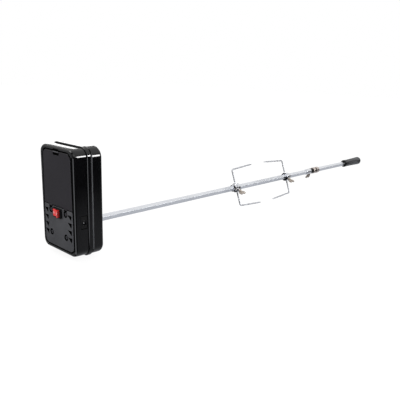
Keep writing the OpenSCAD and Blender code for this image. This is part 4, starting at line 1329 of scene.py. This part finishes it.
# ------------------------------------------------------------------ world and lights
def studio_world(scene):
    """Reflections see white overhead and darker tones low down; the camera sees plain white."""
    world = bpy.data.worlds.new("studio")
    scene.world = world
    world.use_nodes = True
    shader = Shader(world.node_tree)
    mix, smooth = shader.mix, shader.smooth
    out = shader.node("OutputWorld")
    split = shader.node("SeparateXYZ", {0: shader.node("TexCoord").outputs["Generated"]})
    x, y, z = (split.outputs[axis] for axis in "XYZ")
    # low down: brighter on the left than on the right, and brighter in front on the left
    low = mix(smooth(x, -0.3, 0.3, (0.30, 0.03)), smooth(x, -0.1, 0.3, (0.5, 0.05)),
              smooth(y, 0.15, -0.35))
    # the white overhead comes down further straight behind
    tilt = shader.calc("ADD", z, smooth(y, 0.62, 0.92, (0.0, 0.30)))
    mirrored = mix(low, 0.84, smooth(tilt, 0.22, 0.66))
    path = shader.node("LightPath")
    ambient = 0.85
    strength = mix(ambient, mirrored, path.outputs["Is Glossy Ray"])
    strength = mix(strength, 1.0, path.outputs["Is Camera Ray"])
    back = shader.node("Background", {"Color": (1.0, 1.0, 1.0, 1), "Strength": strength})
    shader.feed(out.inputs[0], back.outputs[0])


def area(name, direction, distance, size, power, target):
    """size: width and height; direction: from the target towards the light"""
    towards = Vector(direction).normalized()
    light = bpy.data.lights.new(name, "AREA")
    light.shape = "RECTANGLE"
    light.size, light.size_y = size
    light.energy = power
    obj = bpy.data.objects.new(name, light)
    obj.location = Vector(target) + towards * distance
    obj.rotation_mode = "QUATERNION"
    obj.rotation_quaternion = (-towards).to_track_quat("-Z", "Y")
    bpy.context.scene.collection.objects.link(obj)


def lights():
    # low card behind on the left and soft box behind on the right, mirrored in the case
    area("back_card", direction=(-0.69, 0.70, 0.14), distance=2.2, size=(1.6, 0.33), power=4.6,
         target=(0, -0.02, 0.12))
    area("corner_box", direction=(0.80, 0.54, 0.24), distance=1.6, size=(0.55, 0.36), power=16.0,
         target=(0.04, -0.02, 0.11))
    area("key", direction=(-0.5, -0.55, 0.9), distance=2.4, size=(1.4, 1.4), power=16.0,
         target=(0, 0.2, 0))
    area("fill_right", direction=(0.9, -0.3, 0.7), distance=2.4, size=(1.4, 1.4), power=5.0,
         target=(0, 0.3, 0))


# ------------------------------------------------------------------ camera
def camera(scene):
    """Stands in front on the right, looking back to the left and down."""
    yaw, pitch, roll = -0.758426, -0.254532, 0.03135
    position = Vector((0.642212, -0.372529 - CASE_D * MM, 0.272682 - AXIS_H * MM))
    forward = Vector((math.sin(yaw) * math.cos(pitch), math.cos(yaw) * math.cos(pitch),
                      math.sin(pitch)))
    right = Vector((math.cos(yaw), -math.sin(yaw), 0))
    up = right.cross(forward)
    c, s = math.cos(roll), math.sin(roll)
    rolled_right, rolled_up = right * c + up * s, up * c - right * s
    lens = bpy.data.cameras.new("cam")
    lens.sensor_width = 36.0
    lens.lens = 45.0
    lens.clip_start = 0.01
    lens.clip_end = 50
    obj = bpy.data.objects.new("cam", lens)
    scene.collection.objects.link(obj)
    turn = Matrix((rolled_right, rolled_up, -forward)).transposed().to_4x4()
    obj.matrix_world = Matrix.Translation(position) @ turn
    scene.camera = obj


floor()
main_scene = bpy.context.scene
studio_world(main_scene)
view = main_scene.view_settings
view.view_transform = "Standard"
view.look = "None"
view.exposure = 0.0
view.gamma = 1.0
lights()
camera(main_scene)
